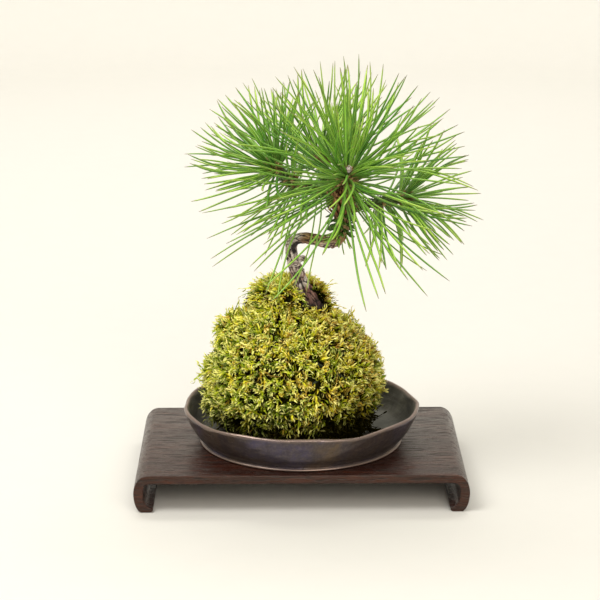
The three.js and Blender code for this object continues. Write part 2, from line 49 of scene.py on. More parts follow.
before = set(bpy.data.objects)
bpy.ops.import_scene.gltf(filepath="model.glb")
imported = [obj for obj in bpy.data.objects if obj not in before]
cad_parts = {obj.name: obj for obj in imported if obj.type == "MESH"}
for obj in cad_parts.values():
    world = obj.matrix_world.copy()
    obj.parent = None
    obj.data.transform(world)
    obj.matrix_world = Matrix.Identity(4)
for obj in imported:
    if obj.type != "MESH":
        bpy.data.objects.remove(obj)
cad_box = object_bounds()
stand_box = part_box("stand")
shift = np.array([(stand_box[0].x + stand_box[1].x) / 2, (stand_box[0].y + stand_box[1].y) / 2, 0]) / MM

# Camera: where the photograph was taken from, and how it was aimed
CAMERA_PLACE = (-11.44, -997.1, 369)
CAMERA_PITCH = 15.6
CAMERA_YAW = 0.641
CAMERA_LENS = 127.45

# Lights, as a name, a place and a target in metres, a size, a power and a colour, and the floor
WARM_WHITE = (1, 0.985, 0.96)
LIGHTS = (
    ("key", (-0.55, -0.35, 0.95), (0, 0, 0.08), (0.6, 0.6), 9, WARM_WHITE),
    ("front", (0.3, -1, 0.6), (0, 0, 0.08), (0.8, 0.5), 7.2, (1, 0.94, 0.87)),
    ("back", (0, 0.75, 1.4), (0, 1.25, 0.1), (1.8, 0.6), 18, WARM_WHITE),
)
SKY_STRENGTH = 0.5
FLOOR_FLAT = 1220
FLOOR_CURVE = 330
WALL_HEIGHT = 1000
FLOOR_SIDES = 96

# Stand
STAND_WIDTH = 160
STAND_DEPTH = 102.3
STAND_HEIGHT = 18.6
BOARD_THICKNESS = 4.3
LEG_THICKNESS = 4.6
SHOULDER_REACH = 7.2
LEG_MIDDLE = 9.3
HEEL_REACH = 4
FOOT_WIDTH = 3.8
FOOT_TURN, FOOT_LIFT, FOOT_BACK, FOOT_RISE = 1.8, 0.2, 1.4, 2
LEG_FLAT = (7.4, 10.8)
BOARD_CORNER = 4
STAND_EDGE = 0.6

# Dish
DISH_CENTRE = (0.2, 3.2)
DISH_FOOT = 50.2
DISH_RIM = 57.9
DISH_HEIGHT = 18.3
DISH_FLOOR = 3.2
WALL_WAVES = ((3, 0.6, 0.6), (7, 0.4, 2.1), (11, 0.2, 0))
RIM_WAVES = ((4, 0.45, 1.2), (9, 0.3, 0.5))
TOUCH_WAVES = ((17, 0.1, 0.8), (29, 0.07, -1.3))
DISH_SIDES = 288

# Moss ball
BALL_CENTRE = np.array([-3.3, 3.2, 50])
MAT_RADIUS = 39.5
MAT_RINGS = 84
MAT_SIDES = 140
COLLAR_WAY = (-1.3, 3, 48)
COLLAR_RISE = 8
COLLAR_EDGE = (14, 27)
SHOULDER_DIP = 2
SHOULDER_PLACE = 48
SHOULDER_SPREAD = 14
LUMP_HEIGHT = 0.8
RIPPLE_HEIGHT = 0.6
TUFT_HEIGHT = 5.4
NECK_RADIUS = 6.6
NECK_PLACE = np.array([2.6, 1, 95])
NECK_LEAN = np.array([-0.32, 0, 1])

# Where the mat stands higher or lower than an even ball, as a direction, a height and a spread in
# degrees, and what the moss on it adds to that
MAT_SWELLS = (
    ((-0.77, 0.17, 0.61), 4.2, 11),
    ((-0.38, 0.25, 0.89), 2.8, 8),
    ((-1, 0.02, 0.08), 2, 9),
    ((-0.5, -0.03, 0.87), -2.5, 8),
    ((-0.52, 0.23, 0.82), -2.5, 8),
    ((-0.5, 0.47, 0.73), -2.5, 8),
    ((-0.93, 0.1, 0.36), -2, 9),
    ((0.42, 0.24, 0.87), -2.2, 14),
    ((0.62, 0.21, 0.76), -1.5, 12),
    ((0.87, 0.13, 0.48), -1.8, 10),
    ((-0.8, -0.16, -0.57), -3.2, 14),
    ((0.17, -0.3, 0.93), -2.5, 11),
)
MOSS_SWELLS = (
    ((-0.77, 0.17, 0.61), 2.5, 7),
    ((-0.38, 0.25, 0.89), 2, 6),
    ((0.42, 0.24, 0.87), -2.5, 10),
    ((0.87, 0.13, 0.48), -1.5, 10),
    ((0.17, -0.3, 0.93), -2, 11),
)
# How far the shoots stand higher or lower than on the rest of the mat: direction, height and spread
SHOOT_SWELLS = (
    ((-0.95, -0.1, -0.3), 5.5, 13),
    ((0.55, 0, 0.84), -3.5, 15),
    ((0.8, 0, 0.6), -3, 14),
    ((-0.47, 0, 0.88), -3, 9),
    ((-0.94, 0, 0.32), -2.5, 12),
)
BARE_PLACE = np.array([2.8, -4.5, 90.5])
BARE_RADIUS = 4
SOIL_LEVEL = 38.9
CRUMB_COUNT = 500
MOSS_PIECES = 4
SHOOTS_PER_PIECE = 1600
COLLAR_SHOOTS = 190
CLUMP_COUNT = 420
SHOOT_STEPS = 6
SHOOT_LEAVES = 6
LEAF_LENGTH = 4.1
LEAF_WIDTH = 0.118
WIRY_SHARE = 0.09

# Sprigs out of line, as a place, a direction, a length and a number
STRAY_SPRIGS = (
    ((33, 2, 24), (1, -0.1, 0.05), 9, 7),
    ((27, -10, 24), (0.9, -0.5, 0.1), 8, 6),
    ((-46, 3, 53), (-1, 0.05, 0.15), 8, 3),
    ((22, 6, 79), (0.9, 0, 0.35), 8, 2),
    ((9, 5, 90), (0, 0.1, 1), 8, 6),
)

# Needles
NEEDLE_WIDTH = 1.3
NEEDLE_STEPS = 14
NEEDLE_WAVE = 0.015
NEEDLE_ARC = 0.09
EXTRA_WIDTH = 1.15
EXTRA_GAP = 0.05
EXTRA_TRIES = 16
EXTRA_PAIRS = {"apex": 10, "left": 18, "back": 6, "right": 5}
CANDLE_PAIRS = 16
SHOOT_RADIUS = 2.1
BUD_LENGTH = 3.6
BUD_RADIUS = 1.05
NEEDLE_GAP = 0.3
LIMB_ROOM = 1.12
GOLDEN_ANGLE = 137.508
PAIR_RULE = {
    "first_root": 2.4,
    "last_root": 2.2,
    "root_depth": 0.45,
    "root_spacing": 0.3,
    "turn_sway": 6,
    "tilt_sway": 6,
    "tilt_curve": 1.15,
    "opening": (3.5, 6),
    "reach_sway": 0.1,
    "own_reach_sway": 0.04,
    "bend_way": 60,
    "bend": 0.2,
    "lift": 0.03,
    "tries": 40,
    "loosening": 0.25,
}
NEEDLE_STATIONS = (0, 0.45, 0.85, 1)
LIMB_OWNER = -1
BUD_OWNER = -2

# Trunk
TRUNK_VOXEL = 0.42
TRUNK_HOLLOW = np.array([-1.5, -1.8, 117])
HOLLOW_SPREAD = 3.6
DARK_SNAG = np.array([2.2, 0.9, 110])
SNAG_SPREAD = 2.2

# Gaps between the solids, and where dish and moss stand
SEAT_GAP = 0.1
CUT_GAP = 0.35
DISH_BOTTOM = STAND_HEIGHT + SEAT_GAP
MOSS_BOTTOM = DISH_BOTTOM + DISH_FLOOR + SEAT_GAP

# The young shoots, each with its pairs of needles: reach and tilt at the lowest and the highest pair
SPRAYS = {
    "apex": {
        "base": (20.8, -4, 147.6), "axis": (0.11, -0.7, 0.7), "shoot": 14, "pairs": 64,
        "reach": (63, 49), "tilt": (104, 22),
    },
    "left": {
        "base": (-9, 8, 151.5), "axis": (-0.72, -0.1, 0.68), "shoot": 9, "pairs": 30,
        "reach": (41, 40), "tilt": (78, 10),
    },
    "back": {
        "base": (11.5, 19, 151.5), "axis": (-0.26, 0.42, 0.87), "shoot": 9, "pairs": 28,
        "reach": (46, 41), "tilt": (82, 10),
    },
    "right": {
        "base": (45, 2, 140.5), "axis": (0.95, -0.2, 0.2), "shoot": 8, "pairs": 24,
        "reach": (38, 34), "tilt": (70, 8),
    },
}

# Older needles on the stem below each shoot: pairs, where on the limb they start, reach and tilt
OLDER_PAIRS = {
    "apex": (12, 0.93, (62, 66), (112, 92)),
    "left": (24, 0.45, (34, 40), (110, 60)),
    "back": (8, 0.6, (34, 38), (100, 70)),
    "right": (20, 0.45, (32, 38), (110, 60)),
}

# Long needles that hang to the lower left and before the trunk, each from a root to a tip
UNDER_APEX = (19.4, -2.5, 144)
HANGING_NEEDLES = (
    (UNDER_APEX, (-42.1, -10, 112.4)), (UNDER_APEX, (-35.8, -12, 118.9)), (UNDER_APEX, (-22.9, -15, 110.7)),
    (UNDER_APEX, (-31.5, -5, 131.4)), (UNDER_APEX, (-28.8, 4, 125.8)), (UNDER_APEX, (-18.5, -14, 124.2)),
    ((10, -1, 146), (-13.6, -20, 98.7)), ((9, -1, 147), (-0.5, -18, 101.5)),
)
# Needles that point down before the stem under the apex are left out, so that its scales show
STEM_WINDOW = ((-6, 30), 128)

# The trunk from the tip of its tap root to the apex shoot, then its branches, roots and snags, as
# x, y, z and radius
TRUNK_ROUTE = (
    (-1, 2, 36, 1.4),
    (2, 3.4, 58, 3),
    (6, 2.8, 80, 4.7),
    (4.4, 2.3, 89, 4.4),
    (0.5, 2.1, 97, 4.25),
    (-1.7, 2, 105, 3.2),
    (-4.1, 1.7, 112.5, 3),
    (-3.9, 1.2, 118.2, 3.1),
    (0.6, 0.4, 121.2, 2.8),
    (6.6, -0.4, 121, 2.6),
    (12.4, -0.9, 119.8, 2.7),
    (17.2, -1.2, 121.2, 3.1),
    (20, -1.4, 126.4, 3.2),
    (19.7, -1.5, 133.5, 3.4),
)
BRANCH_ROUTES = {
    "left": ((19.9, -1.2, 137.5, 1.9), (13, 2.5, 142.3, 1.8), (3, 6.5, 145.4, 1.7)),
    "back": ((19.8, -1.2, 135.5, 1.9), (17.4, 6.2, 139.5, 1.8), (14.2, 13.2, 143.8, 1.7)),
    "right": ((19.9, -1.2, 133, 1.9), (27, 0.8, 136.2, 1.8), (35.5, 2.6, 138.4, 1.7)),
}
SIDE_ROOTS = (
    ((4, 3, 76, 3), (14, 8, 70, 2), (20, 12, 56, 1)),
    ((3, 2, 74, 3), (-8, -6, 70, 2), (-18, -10, 58, 1)),
    ((3, 3, 68, 2.6), (-6, 14, 62, 1.8), (-10, 20, 48, 1)),
    ((4, 2, 70, 2.6), (12, -8, 62, 1.8), (14, -14, 46, 1)),
)
SNAG_ROUTES = (
    ((-4, 1.2, 117, 1.4), (-5.2, 0.8, 121, 1), (-5.4, 0.6, 123.6, 0.5)),
    ((-3, 1.6, 109, 1.6), (1.4, 1, 111.2, 1.4), (2.8, 0.8, 109.2, 0.9)),
    ((16.6, -1.2, 120.4, 2), (15.8, -1.6, 118.1, 1.2), (15.5, -1.8, 117, 0.6)),
)

# Corners of the faces of a scale and of a moss leaf, both closed
SCALE_FACES = (
    (0, 6, 4), (0, 4, 2), (6, 1, 3), (6, 3, 4), (2, 4, 5), (4, 3, 5), (0, 2, 3), (0, 3, 1), (2, 5, 3),
    (0, 1, 6),
)
LEAF_FACES = (
    (0, 2, 1), (0, 3, 2), (0, 1, 3), (1, 2, 5), (1, 5, 4), (2, 3, 6), (2, 6, 5), (3, 1, 4), (3, 4, 6),
    (4, 5, 7), (5, 6, 7), (6, 4, 7),
)


# Numbers and vectors

def draw(*key):
    """A repeatable draw from 0 to 1 for a key made of whole numbers, the same as in the part's source."""
    mask = 0xFFFFFFFF
    state = 2166136261
    for part in key:
        state = ((state ^ (part + 1)) * 16777619) & mask
        state = ((state ^ (state >> 15)) * 2246822519) & mask
        state ^= state >> 13
    return state / 4294967296


def sway(*key):
    return 2 * draw(*key) - 1


def unit(v):
    v = np.asarray(v, float)
    return v / np.maximum(np.linalg.norm(v, axis=-1, keepdims=True), 1e-12)


def turned(v, axis, angle):
    """v turned about a unit axis by an angle in radians."""
    return (v * math.cos(angle) + np.cross(axis, v) * math.sin(angle)
            + axis * np.dot(axis, v) * (1 - math.cos(angle)))


def lerp(a, b, t):
    return a + (b - a) * t


def smoothstep(x, low, high):
    t = np.clip((x - low) / (high - low), 0, 1)
    return t * t * (3 - 2 * t)


def waves(table, angle):
    return sum(height * np.cos(count * angle + phase) for count, height, phase in table)


def turns(count):
    """Angles of a whole turn in equal steps."""
    return np.arange(count) / count * 2 * math.pi


def wound(count):
    """Angles wound on by the golden angle."""
    return np.arange(count) * math.radians(GOLDEN_ANGLE)


def near(points, centre, reach):
    """1 close to a place, and steeply down to 0 past its reach."""
    return np.exp(-(np.linalg.norm(points - centre, axis=1) / reach) ** 4)


def around(radius, angles, height):
    """Points at a radius, angle and height round an upright axis."""
    return np.stack(np.broadcast_arrays(radius * np.cos(angles), radius * np.sin(angles), height), -1)


def quadratic_at(curve, t):
    """Points on a quadratic curve given by its start, control and end."""
    start, control, end = np.asarray(curve, float)
    t = np.asarray(t, float)[:, None]
    return (1 - t) ** 2 * start + 2 * t * (1 - t) * control + t ** 2 * end


def spline(points, t):
    """Points along a centripetal Catmull-Rom curve through points, at parameters t from 0 to 1."""
    points = np.asarray(points, float)
    last = len(points) - 1
    padded = np.vstack([2 * points[0] - points[1], points, 2 * points[-1] - points[-2]])
    place = np.asarray(t, float) * last
    index = np.minimum(place.astype(int), last - 1)
    u = (place - index)[:, None]
    p0, p1, p2, p3 = (padded[index + k] for k in range(4))
    gap = [np.maximum(((b - a) ** 2).sum(1, keepdims=True) ** 0.25, 1e-4)
           for a, b in ((p0, p1), (p1, p2), (p2, p3))]
    t1 = ((p1 - p0) / gap[0] - (p2 - p0) / (gap[0] + gap[1]) + (p2 - p1) / gap[1]) * gap[1]
    t2 = ((p2 - p1) / gap[1] - (p3 - p1) / (gap[1] + gap[2]) + (p3 - p2) / gap[2]) * gap[1]
    c2 = -3 * p1 + 3 * p2 - 2 * t1 - t2
    c3 = 2 * p1 - 2 * p2 + t1 + t2
    return p1 + t1 * u + c2 * u ** 2 + c3 * u ** 3


def along_limb(limb, t):
    """Points and radii of a limb, which is rows of x, y, z and radius, at parameters t from 0 to 1."""
    limb = np.asarray(limb, float)
    places = np.asarray(t) * (len(limb) - 1)
    return spline(limb[:, :3], t), np.interp(places, np.arange(len(limb)), limb[:, 3])


def frames_along(paths):
    """Tangents, normals and binormals along curves of shape (..., steps, 3), without twist."""
    tangents = unit(np.gradient(paths, axis=-2))
    first = tangents[..., 0, :]
    helper = np.where(np.abs(first[..., 2:3]) < 0.9, [0, 0, 1], [1, 0, 0])
    normals = [unit(np.cross(helper, first))]
    for step in range(1, paths.shape[-2]):
        tangent = tangents[..., step, :]
        normals.append(unit(normals[-1] - tangent * (normals[-1] * tangent).sum(-1, keepdims=True)))
    normals = np.stack(normals, -2)
    return tangents, normals, np.cross(tangents, normals)


def out_of(normals, binormals, angles):
    """Directions out of a stem, at angles round it."""
    return np.cos(angles)[..., None] * normals + np.sin(angles)[..., None] * binormals


def rings_along(paths, radii, sides, flat=1):
    """Rings of points round curves of shape (..., steps, 3). Radii have the shape (..., steps), or
    (..., steps, sides) where they change round the curve."""
    _, normals, binormals = frames_along(paths)
    angles = turns(sides)
    radii = radii[..., None] if radii.ndim == paths.ndim - 1 else radii
    across = (radii * np.cos(angles))[..., None] * normals[..., None, :]
    upward = (radii * np.sin(angles) * flat)[..., None] * binormals[..., None, :]
    return paths[..., None, :] + across + upward


def ring_quads(rows, columns):
    """The four corners of each face between rows of points that close on themselves."""
    i = np.arange(rows - 1)[:, None] * columns
    j = np.arange(columns)
    k = (j + 1) % columns
    return np.stack([i + j, i + k, i + columns + k, i + columns + j], -1).reshape(-1, 4)


def copied(points, faces):
    """Points and faces of copies of one shape, from points of shape (copies, n, 3)."""
    offsets = np.arange(len(points))[:, None, None] * points.shape[1]
    return points.reshape(-1, 3), (np.asarray(faces) + offsets).reshape(-1, len(faces[0]))


def skin(rings):
    """Points and triangles of closed tubes over rings of shape (..., steps, sides, 3)."""
    steps, sides = rings.shape[-3:-1]
    rings = rings.reshape(-1, steps, sides, 3)
    points = np.concatenate([rings.reshape(len(rings), -1, 3), rings[:, [0, -1]].mean(2)], 1)
    quads = ring_quads(steps, sides)
    ring = np.arange(sides)
    after = (ring + 1) % sides
    top = (steps - 1) * sides
    return copied(points, np.concatenate([
        quads[:, [0, 1, 2]],
        quads[:, [0, 2, 3]],
        np.stack([np.full(sides, steps * sides), after, ring], 1),
        np.stack([np.full(sides, steps * sides + 1), top + ring, top + after], 1),
    ]))


def tubes(lines, radii, sides, flat=1, t=None):
    """Closed tubes along curves: points, triangles and how far along its tube each point lies."""
    t = np.linspace(0, 1, lines.shape[-2]) if t is None else t
    points, faces = skin(rings_along(lines, np.broadcast_to(radii, lines.shape[:-1]), sides, flat))
    return points, faces, np.resize(np.append(np.repeat(t, sides), [0, 1]), len(points))


# Making pieces

def in_metres(points):
    """Points as one list of numbers for a mesh."""
    return ((points + shift) * MM).astype(np.float32).ravel()


def set_values(mesh, values):
    """Gives each point of a mesh its numbers, by name."""
    for key, value in values.items():
        layer = mesh.attributes.new(key, "FLOAT", "POINT")
        layer.data.foreach_set("value", np.asarray(value, np.float32))


def make_mesh(name, points, faces, values, smooth=True):
    mesh = bpy.data.meshes.new(name)
    mesh.vertices.add(len(points))
    mesh.vertices.foreach_set("co", in_metres(points))
    mesh.loops.add(faces.size)
    mesh.loops.foreach_set("vertex_index", faces.astype(np.int32).ravel())
    mesh.polygons.add(len(faces))
    mesh.polygons.foreach_set("loop_start", np.arange(0, faces.size, faces.shape[1], dtype=np.int32))
    set_values(mesh, values)
    mesh.update(calc_edges=True)
    if smooth:
        mesh.shade_smooth()
    else:
        mesh.shade_flat()
    return mesh


def add_object(name, data):
    thing = bpy.data.objects.new(name, data)
    bpy.context.scene.collection.objects.link(thing)
    return thing


def add_piece(mesh, material, nodes=()):
    """A piece named like its mesh, and the nodes that it stands for."""
    piece = add_object(mesh.name, mesh)
    mesh.materials.append(material)
    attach(piece, "root")
    if nodes:
        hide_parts(*nodes)


def join_parts(parts):
    """Points, triangles and attributes of several parts as one."""
    points, faces, values = zip(*parts)
    offsets = np.cumsum([0, *map(len, points)])
    joined = {key: np.concatenate([np.broadcast_to(value[key], len(own))
                                   for value, own in zip(values, points)]) for key in values[0]}
    return np.vstack(points), np.vstack([part + offset for part, offset in zip(faces, offsets)]), joined


def add_parts(name, parts, material, nodes=(), smooth=True):
    """One piece from parts that are each points, triangles and attributes."""
    add_piece(make_mesh(name, *join_parts(parts), smooth), material, nodes)


# Materials

class Shader:
    """A material made of nodes, with short calls for the ones used here."""

    def __init__(self, name):
        self.material = bpy.data.materials.new(name)
        self.material.use_nodes = True
        self.tree = self.material.node_tree

    def feed(self, socket, value):
        if isinstance(value, bpy.types.NodeSocket):
            self.tree.links.new(value, socket)
        elif value is not None:
            socket.default_value = (*value, 1) if socket.type == "RGBA" else value

    def node(self, kind, inputs, output=0, **settings):
        """The output of a new shader node of a kind. Inputs and output go by name or number."""
        node = self.tree.nodes.new("ShaderNode" + kind)
        for key, value in settings.items():
            setattr(node, key, value)
        for key, value in inputs.items():
            self.feed(node.inputs[key], value)
        return node.outputs[output]

    def attribute(self, name, output="Fac"):
        return self.node("Attribute", {}, output, attribute_name=name)

    def noise(self, scale, detail=4, roughness=0.55, distortion=0, stretch=(1, 1, 1), place=None):
        """Noise over the object's own coordinates in metres, stretched, or over a place given."""
        if place is None:
            own = self.node("TexCoord", {}, "Object")
            place = self.node("Mapping", {"Vector": own, "Scale": stretch})
        return self.node("TexNoise", {"Vector": place, "Scale": scale, "Detail": detail,
                                      "Roughness": roughness, "Distortion": distortion}, "Fac")

    def ramp(self, value, *stops):
        """Colours or greys at places along a value."""
        output = self.node("ValToRGB", {0: value})
        elements = output.node.color_ramp.elements
        while len(elements) < len(stops):
            elements.new(0.5)
        for element, (place, colour) in zip(elements, stops):
            element.position = place
            element.color = (*np.broadcast_to(colour, 3), 1)
        return output

    def mix(self, share, a, b):
        return self.node("Mix", {0: share, 6: a, 7: b}, 2, data_type="RGBA")

    def over(self, colour, other, value, low, high, share=1):
        """colour, with up to a share of another where a value rises from low to high."""
        return self.mix(self.ramp(value, (low, 0), (high, share)), colour, other)

    def scaled(self, value, factor, plus=0, clamp=False):
        """value times factor, plus a third."""
        return self.node("Math", {0: value, 1: factor, 2: plus}, operation="MULTIPLY_ADD", use_clamp=clamp)

    def bump(self, height, distance, strength):
        return self.node("Bump", {"Strength": strength, "Distance": distance, "Height": height})

    def finish(self, **inputs):
        main = self.tree.nodes["Principled BSDF"]
        for key, value in inputs.items():
            self.feed(main.inputs[key.replace("_", " ")], value)
        return self.material


def grainy_material(name, grain, stops, roughness, bump=None, gloss=None):
    """A rough material whose colour and bump follow one noise."""
    s = Shader(name)
    height = s.noise(*grain)
    return s.finish(Base_Color=s.ramp(height, *stops), Roughness=roughness, Specular_IOR_Level=gloss,
                    Normal=bump and s.bump(height, *bump))


def soil_material():
    return grainy_material("soil_damp", (900, 5, 0.7), (
        (0.3, (0.012, 0.008, 0.006)), (0.6, (0.04, 0.025, 0.018)), (0.8, (0.11, 0.075, 0.052)),
    ), 0.92, (0.0012, 1))


def mat_material():
    return grainy_material("moss_mat_base", (500, 5, 0.65), (
        (0.3, (0.005, 0.005, 0.001)), (0.6, (0.016, 0.016, 0.002)), (0.8, (0.06, 0.052, 0.008)),
    ), 0.95, (0.0015, 1), 0.05)


def thread_material():
    return grainy_material("thread_twisted", (1800, 3, 0.6), (
        (0.3, (0.012, 0.018, 0.008)), (0.7, (0.045, 0.06, 0.028)),
    ), 0.85, (0.0002, 0.7))


def floor_material():
    return grainy_material("floor_plain", (60, 2), (
        (0, (0.645, 0.628, 0.575)), (1, (0.66, 0.643, 0.59)),
    ), 0.8)


def scaly_material(name, stops, grain_scale, speckle, roughness, relief):
    """Scales: darker at the root, speckled, and green where they are young."""
    s = Shader(name)
    grain = s.noise(grain_scale, 3)
    colour = s.over(s.ramp(s.attribute("along"), *stops), speckle, grain, 0.4, 0.7, 0.5)
    colour = s.mix(s.attribute("green"), colour, (0.07, 0.145, 0.032))
    return s.finish(Base_Color=colour, Roughness=roughness, Normal=s.bump(grain, 0.0002, relief))


def scale_material():
    return scaly_material("bud_scale_brown", (
        (0, (0.05, 0.018, 0.008)), (0.5, (0.24, 0.09, 0.026)), (1, (0.56, 0.32, 0.14)),
    ), 1300, (0.07, 0.026, 0.012), 0.7, 0.6)


def bud_material():
    return scaly_material("bud_pale", (
        (0, (0.33, 0.16, 0.09)), (0.5, (0.56, 0.4, 0.33)), (1, (0.8, 0.72, 0.68)),
    ), 1100, (0.85, 0.78, 0.76), 0.5, 0.5)


def wood_material():
    """Dark stained wood with a satin finish: short dark pores and streaks run along the board."""
    s = Shader("wood_dark_satin")
    streaks = s.noise(28, 6, 0.62, 0.4, (1, 14, 14))
    fine = s.noise(160, 5, 0.6, 0.2, (1, 11, 11))
    dashes = s.ramp(s.noise(105, 3, 0.5, 0.3, (1, 9, 9)), (0.53, 0), (0.63, 1))
    clouds = s.noise(30, 3)
    colour = s.ramp(streaks, (0.28, (0.008, 0.003, 0.002)), (0.52, (0.034, 0.008, 0.004)),
                    (0.74, (0.09, 0.021, 0.007)))
    colour = s.over(colour, (0.012, 0.005, 0.004), fine, 0.4, 0.7, 0.75)
    colour = s.over(colour, (0.03, 0.013, 0.009), clouds, 0.35, 0.7, 0.4)
    colour = s.mix(s.scaled(dashes, 0.75), colour, (0.006, 0.003, 0.002))
    rough = s.scaled(dashes, 0.25, s.scaled(fine, 0.16, 0.2), clamp=True)
    height = s.scaled(clouds, 1.5, s.scaled(dashes, -0.8, s.scaled(fine, 0.4)))
    return s.finish(Base_Color=colour, Roughness=rough, Specular_IOR_Level=0.42,
                    Specular_Tint=(1, 0.9, 0.8), Normal=s.bump(height, 0.0004, 0.6))


def glaze_material():
    """Dark metallic glaze: brown-grey with a purple bloom, thin and light at the edges."""
    s = Shader("glaze_dark_metallic")
    clouds = s.noise(32, 4, 0.6, 0.8)
    blotches = s.noise(110, 4, 0.65, 0.5)
    spots = s.noise(700, 3, 0.6)
    rings = s.noise(300, 4, 0.6, 0, (0.1, 0.1, 1.9))
    inside = s.attribute("inside")
    colour = s.ramp(clouds, (0.34, (0.074, 0.064, 0.118)), (0.5, (0.07, 0.056, 0.056)),
                    (0.66, (0.105, 0.072, 0.046)))
    colour = s.over(colour, (0.045, 0.034, 0.04), blotches, 0.42, 0.62, 0.6)
    colour = s.over(colour, (0.15, 0.12, 0.1), spots, 0.45, 0.75, 0.45)
    floor = s.ramp(blotches, (0.3, (0.06, 0.058, 0.045)), (0.7, (0.14, 0.135, 0.105)))
    colour = s.mix(inside, colour, floor)
    colour = s.mix(s.scaled(s.attribute("edge"), 0.85), colour, (0.25, 0.18, 0.145))
    rough = s.scaled(blotches, 0.14, s.scaled(rings, 0.22, 0.14))
    rough = s.scaled(inside, 0.14, rough, clamp=True)
    height = s.scaled(blotches, 0.9, s.scaled(rings, 0.9, s.scaled(spots, 0.3)))
    return s.finish(Base_Color=colour, Roughness=rough, Metallic=0.62, Normal=s.bump(height, 0.0004, 0.55))


def moss_material():
    """Moss: lime green, yellow, gold or brown, with pale tips, and painted shade that turns it nearly black
    deep between the shoots, at their roots and low on the ball.
    """
    s = Shader("moss_shoots")
    along = s.attribute("along")
    colour = s.ramp(s.attribute("tone"), (0, (0.035, 0.1, 0.004)), (0.2, (0.15, 0.265, 0.006)),
                    (0.4, (0.42, 0.5, 0.006)), (0.6, (0.75, 0.65, 0.022)),
                    (0.78, (0.64, 0.41, 0.045)), (1, (0.28, 0.12, 0.02)))
    colour = s.over(colour, (0.88, 0.8, 0.1), s.noise(1500, 2), 0.4, 0.7, 0.25)
    # Pale cream tips: partly the young leaves' own colour, partly painted highlight
    colour = s.over(colour, (0.98, 0.94, 0.32), along, 0.62, 1, 0.7)
    # Painted shade: the lit share, lower still towards the roots, mixes in a near black and also takes away
    # the shine
    lit = s.scaled(s.attribute("lit"), s.ramp(along, (0, 0.35), (0.45, 1)))
    colour = s.mix(s.ramp(lit, (0.21, 0), (0.56, 0.5), (0.88, 1)), (0.01, 0.008, 0), colour)
    return s.finish(Base_Color=colour, Roughness=0.42, Specular_IOR_Level=s.scaled(lit, 0.3),
                    Specular_Tint=(1, 0.95, 0.55))


def bark_material():
    """Pine bark: grey flakes with dark cracks, reddish patches, orange-brown above, dark at its foot; pale
    grey on its upper left as painted light, and painted shade deepening the cracks and the hollow.
    """
    s = Shader("bark_flaky")
    flow = s.attribute("flow", "Vector")
    flakes = s.noise(420, 6, 0.68, 0.8, place=flow)
    fine = s.noise(1500, 4, 0.65, place=flow)
    patches = s.noise(95, 3, 0.6, 0.5)
    grey = s.ramp(flakes, (0.28, (0.06, 0.04, 0.033)), (0.4, (0.31, 0.24, 0.195)),
                  (0.52, (0.6, 0.53, 0.47)), (0.68, (0.86, 0.82, 0.78)))
    red = s.ramp(flakes, (0.32, (0.022, 0.009, 0.008)), (0.5, (0.24, 0.1, 0.075)),
                 (0.7, (0.62, 0.38, 0.29)))
    orange = s.ramp(flakes, (0.3, (0.05, 0.022, 0.01)), (0.48, (0.27, 0.15, 0.05)),
                    (0.72, (0.54, 0.38, 0.16)))
    # A dark purple-brown for the bark towards its foot and round the dark snag
    darkened_bark = (0.034, 0.02, 0.024)
    colour = s.over(grey, red, patches, 0.38, 0.5)
    # lit is painted light: the trunk's upper left turns pale grey
    for name, share, other in (("lit", 0.85, grey), ("upper", 0.9, orange), ("darkened_bark", 0.8, darkened_bark)):
        colour = s.mix(s.scaled(s.attribute(name), share), colour, other)
    # Nearly black in the cracks, the darker bark in them deepened by painted shade, and painted shade in the
    # hollow
    colour = s.over(colour, (0.01, 0.006, 0.006), s.attribute("crack"), 0.3, 0.8, 0.97)
    height = s.scaled(fine, 0.4, flakes)
    return s.finish(Base_Color=colour, Roughness=0.85, Normal=s.bump(height, 0.0007, 0.9))


def needle_material():
    """Needles: pale at the root, dark to yellow-green, with lines of painted shade along their edges and a
    brown tip.
    """
    s = Shader("needle_green")
    along = s.attribute("along")
    young = s.ramp(along, (0, (0.52, 0.64, 0.15)), (0.15, (0.32, 0.62, 0.08)), (0.65, (0.4, 0.7, 0.06)),
                   (0.93, (0.54, 0.74, 0.11)), (0.98, (0.3, 0.26, 0.08)))
    old = s.ramp(along, (0, (0.18, 0.29, 0.06)), (0.15, (0.06, 0.22, 0.026)), (0.65, (0.08, 0.3, 0.014)),
                 (0.93, (0.18, 0.4, 0.03)), (0.98, (0.16, 0.1, 0.035)))
    colour = s.mix(s.attribute("tone"), old, young)
    colour = s.over(colour, (0.4, 0.54, 0.1), s.noise(700, 3, 0.5), 0.45, 0.75, 0.3)
    # Painted shade: dark green lines along the needle's edges, spread over the whole needle as far as its
    # dull share
    colour = s.mix(s.scaled(s.attribute("edge"), 0.85), colour, (0.018, 0.045, 0.006))
    return s.finish(Base_Color=colour, Roughness=0.36, Specular_IOR_Level=0.5)


# Camera, lights and floor

def add_camera():
    data = bpy.data.cameras.new("camera")
    data.lens = CAMERA_LENS
    data.sensor_width = 36
    data.clip_start, data.clip_end = 0.01, 20
    camera = add_object("camera", data)
    camera.location = (np.array(CAMERA_PLACE) + shift) * MM
    camera.rotation_euler = (math.radians(90 - CAMERA_PITCH), 0, -math.radians(CAMERA_YAW))
    bpy.context.scene.camera = camera


def add_light(name, place, target, size, power, colour):
    data = bpy.data.lights.new(name, "AREA")
    data.shape = "RECTANGLE"
    data.size, data.size_y = size
    data.energy = power
    data.color = colour
    light = add_object(name, data)
    light.location = place
    light.visible_camera = False
    light.rotation_euler = (Vector(target) - Vector(place)).to_track_quat("-Z", "Y").to_euler()


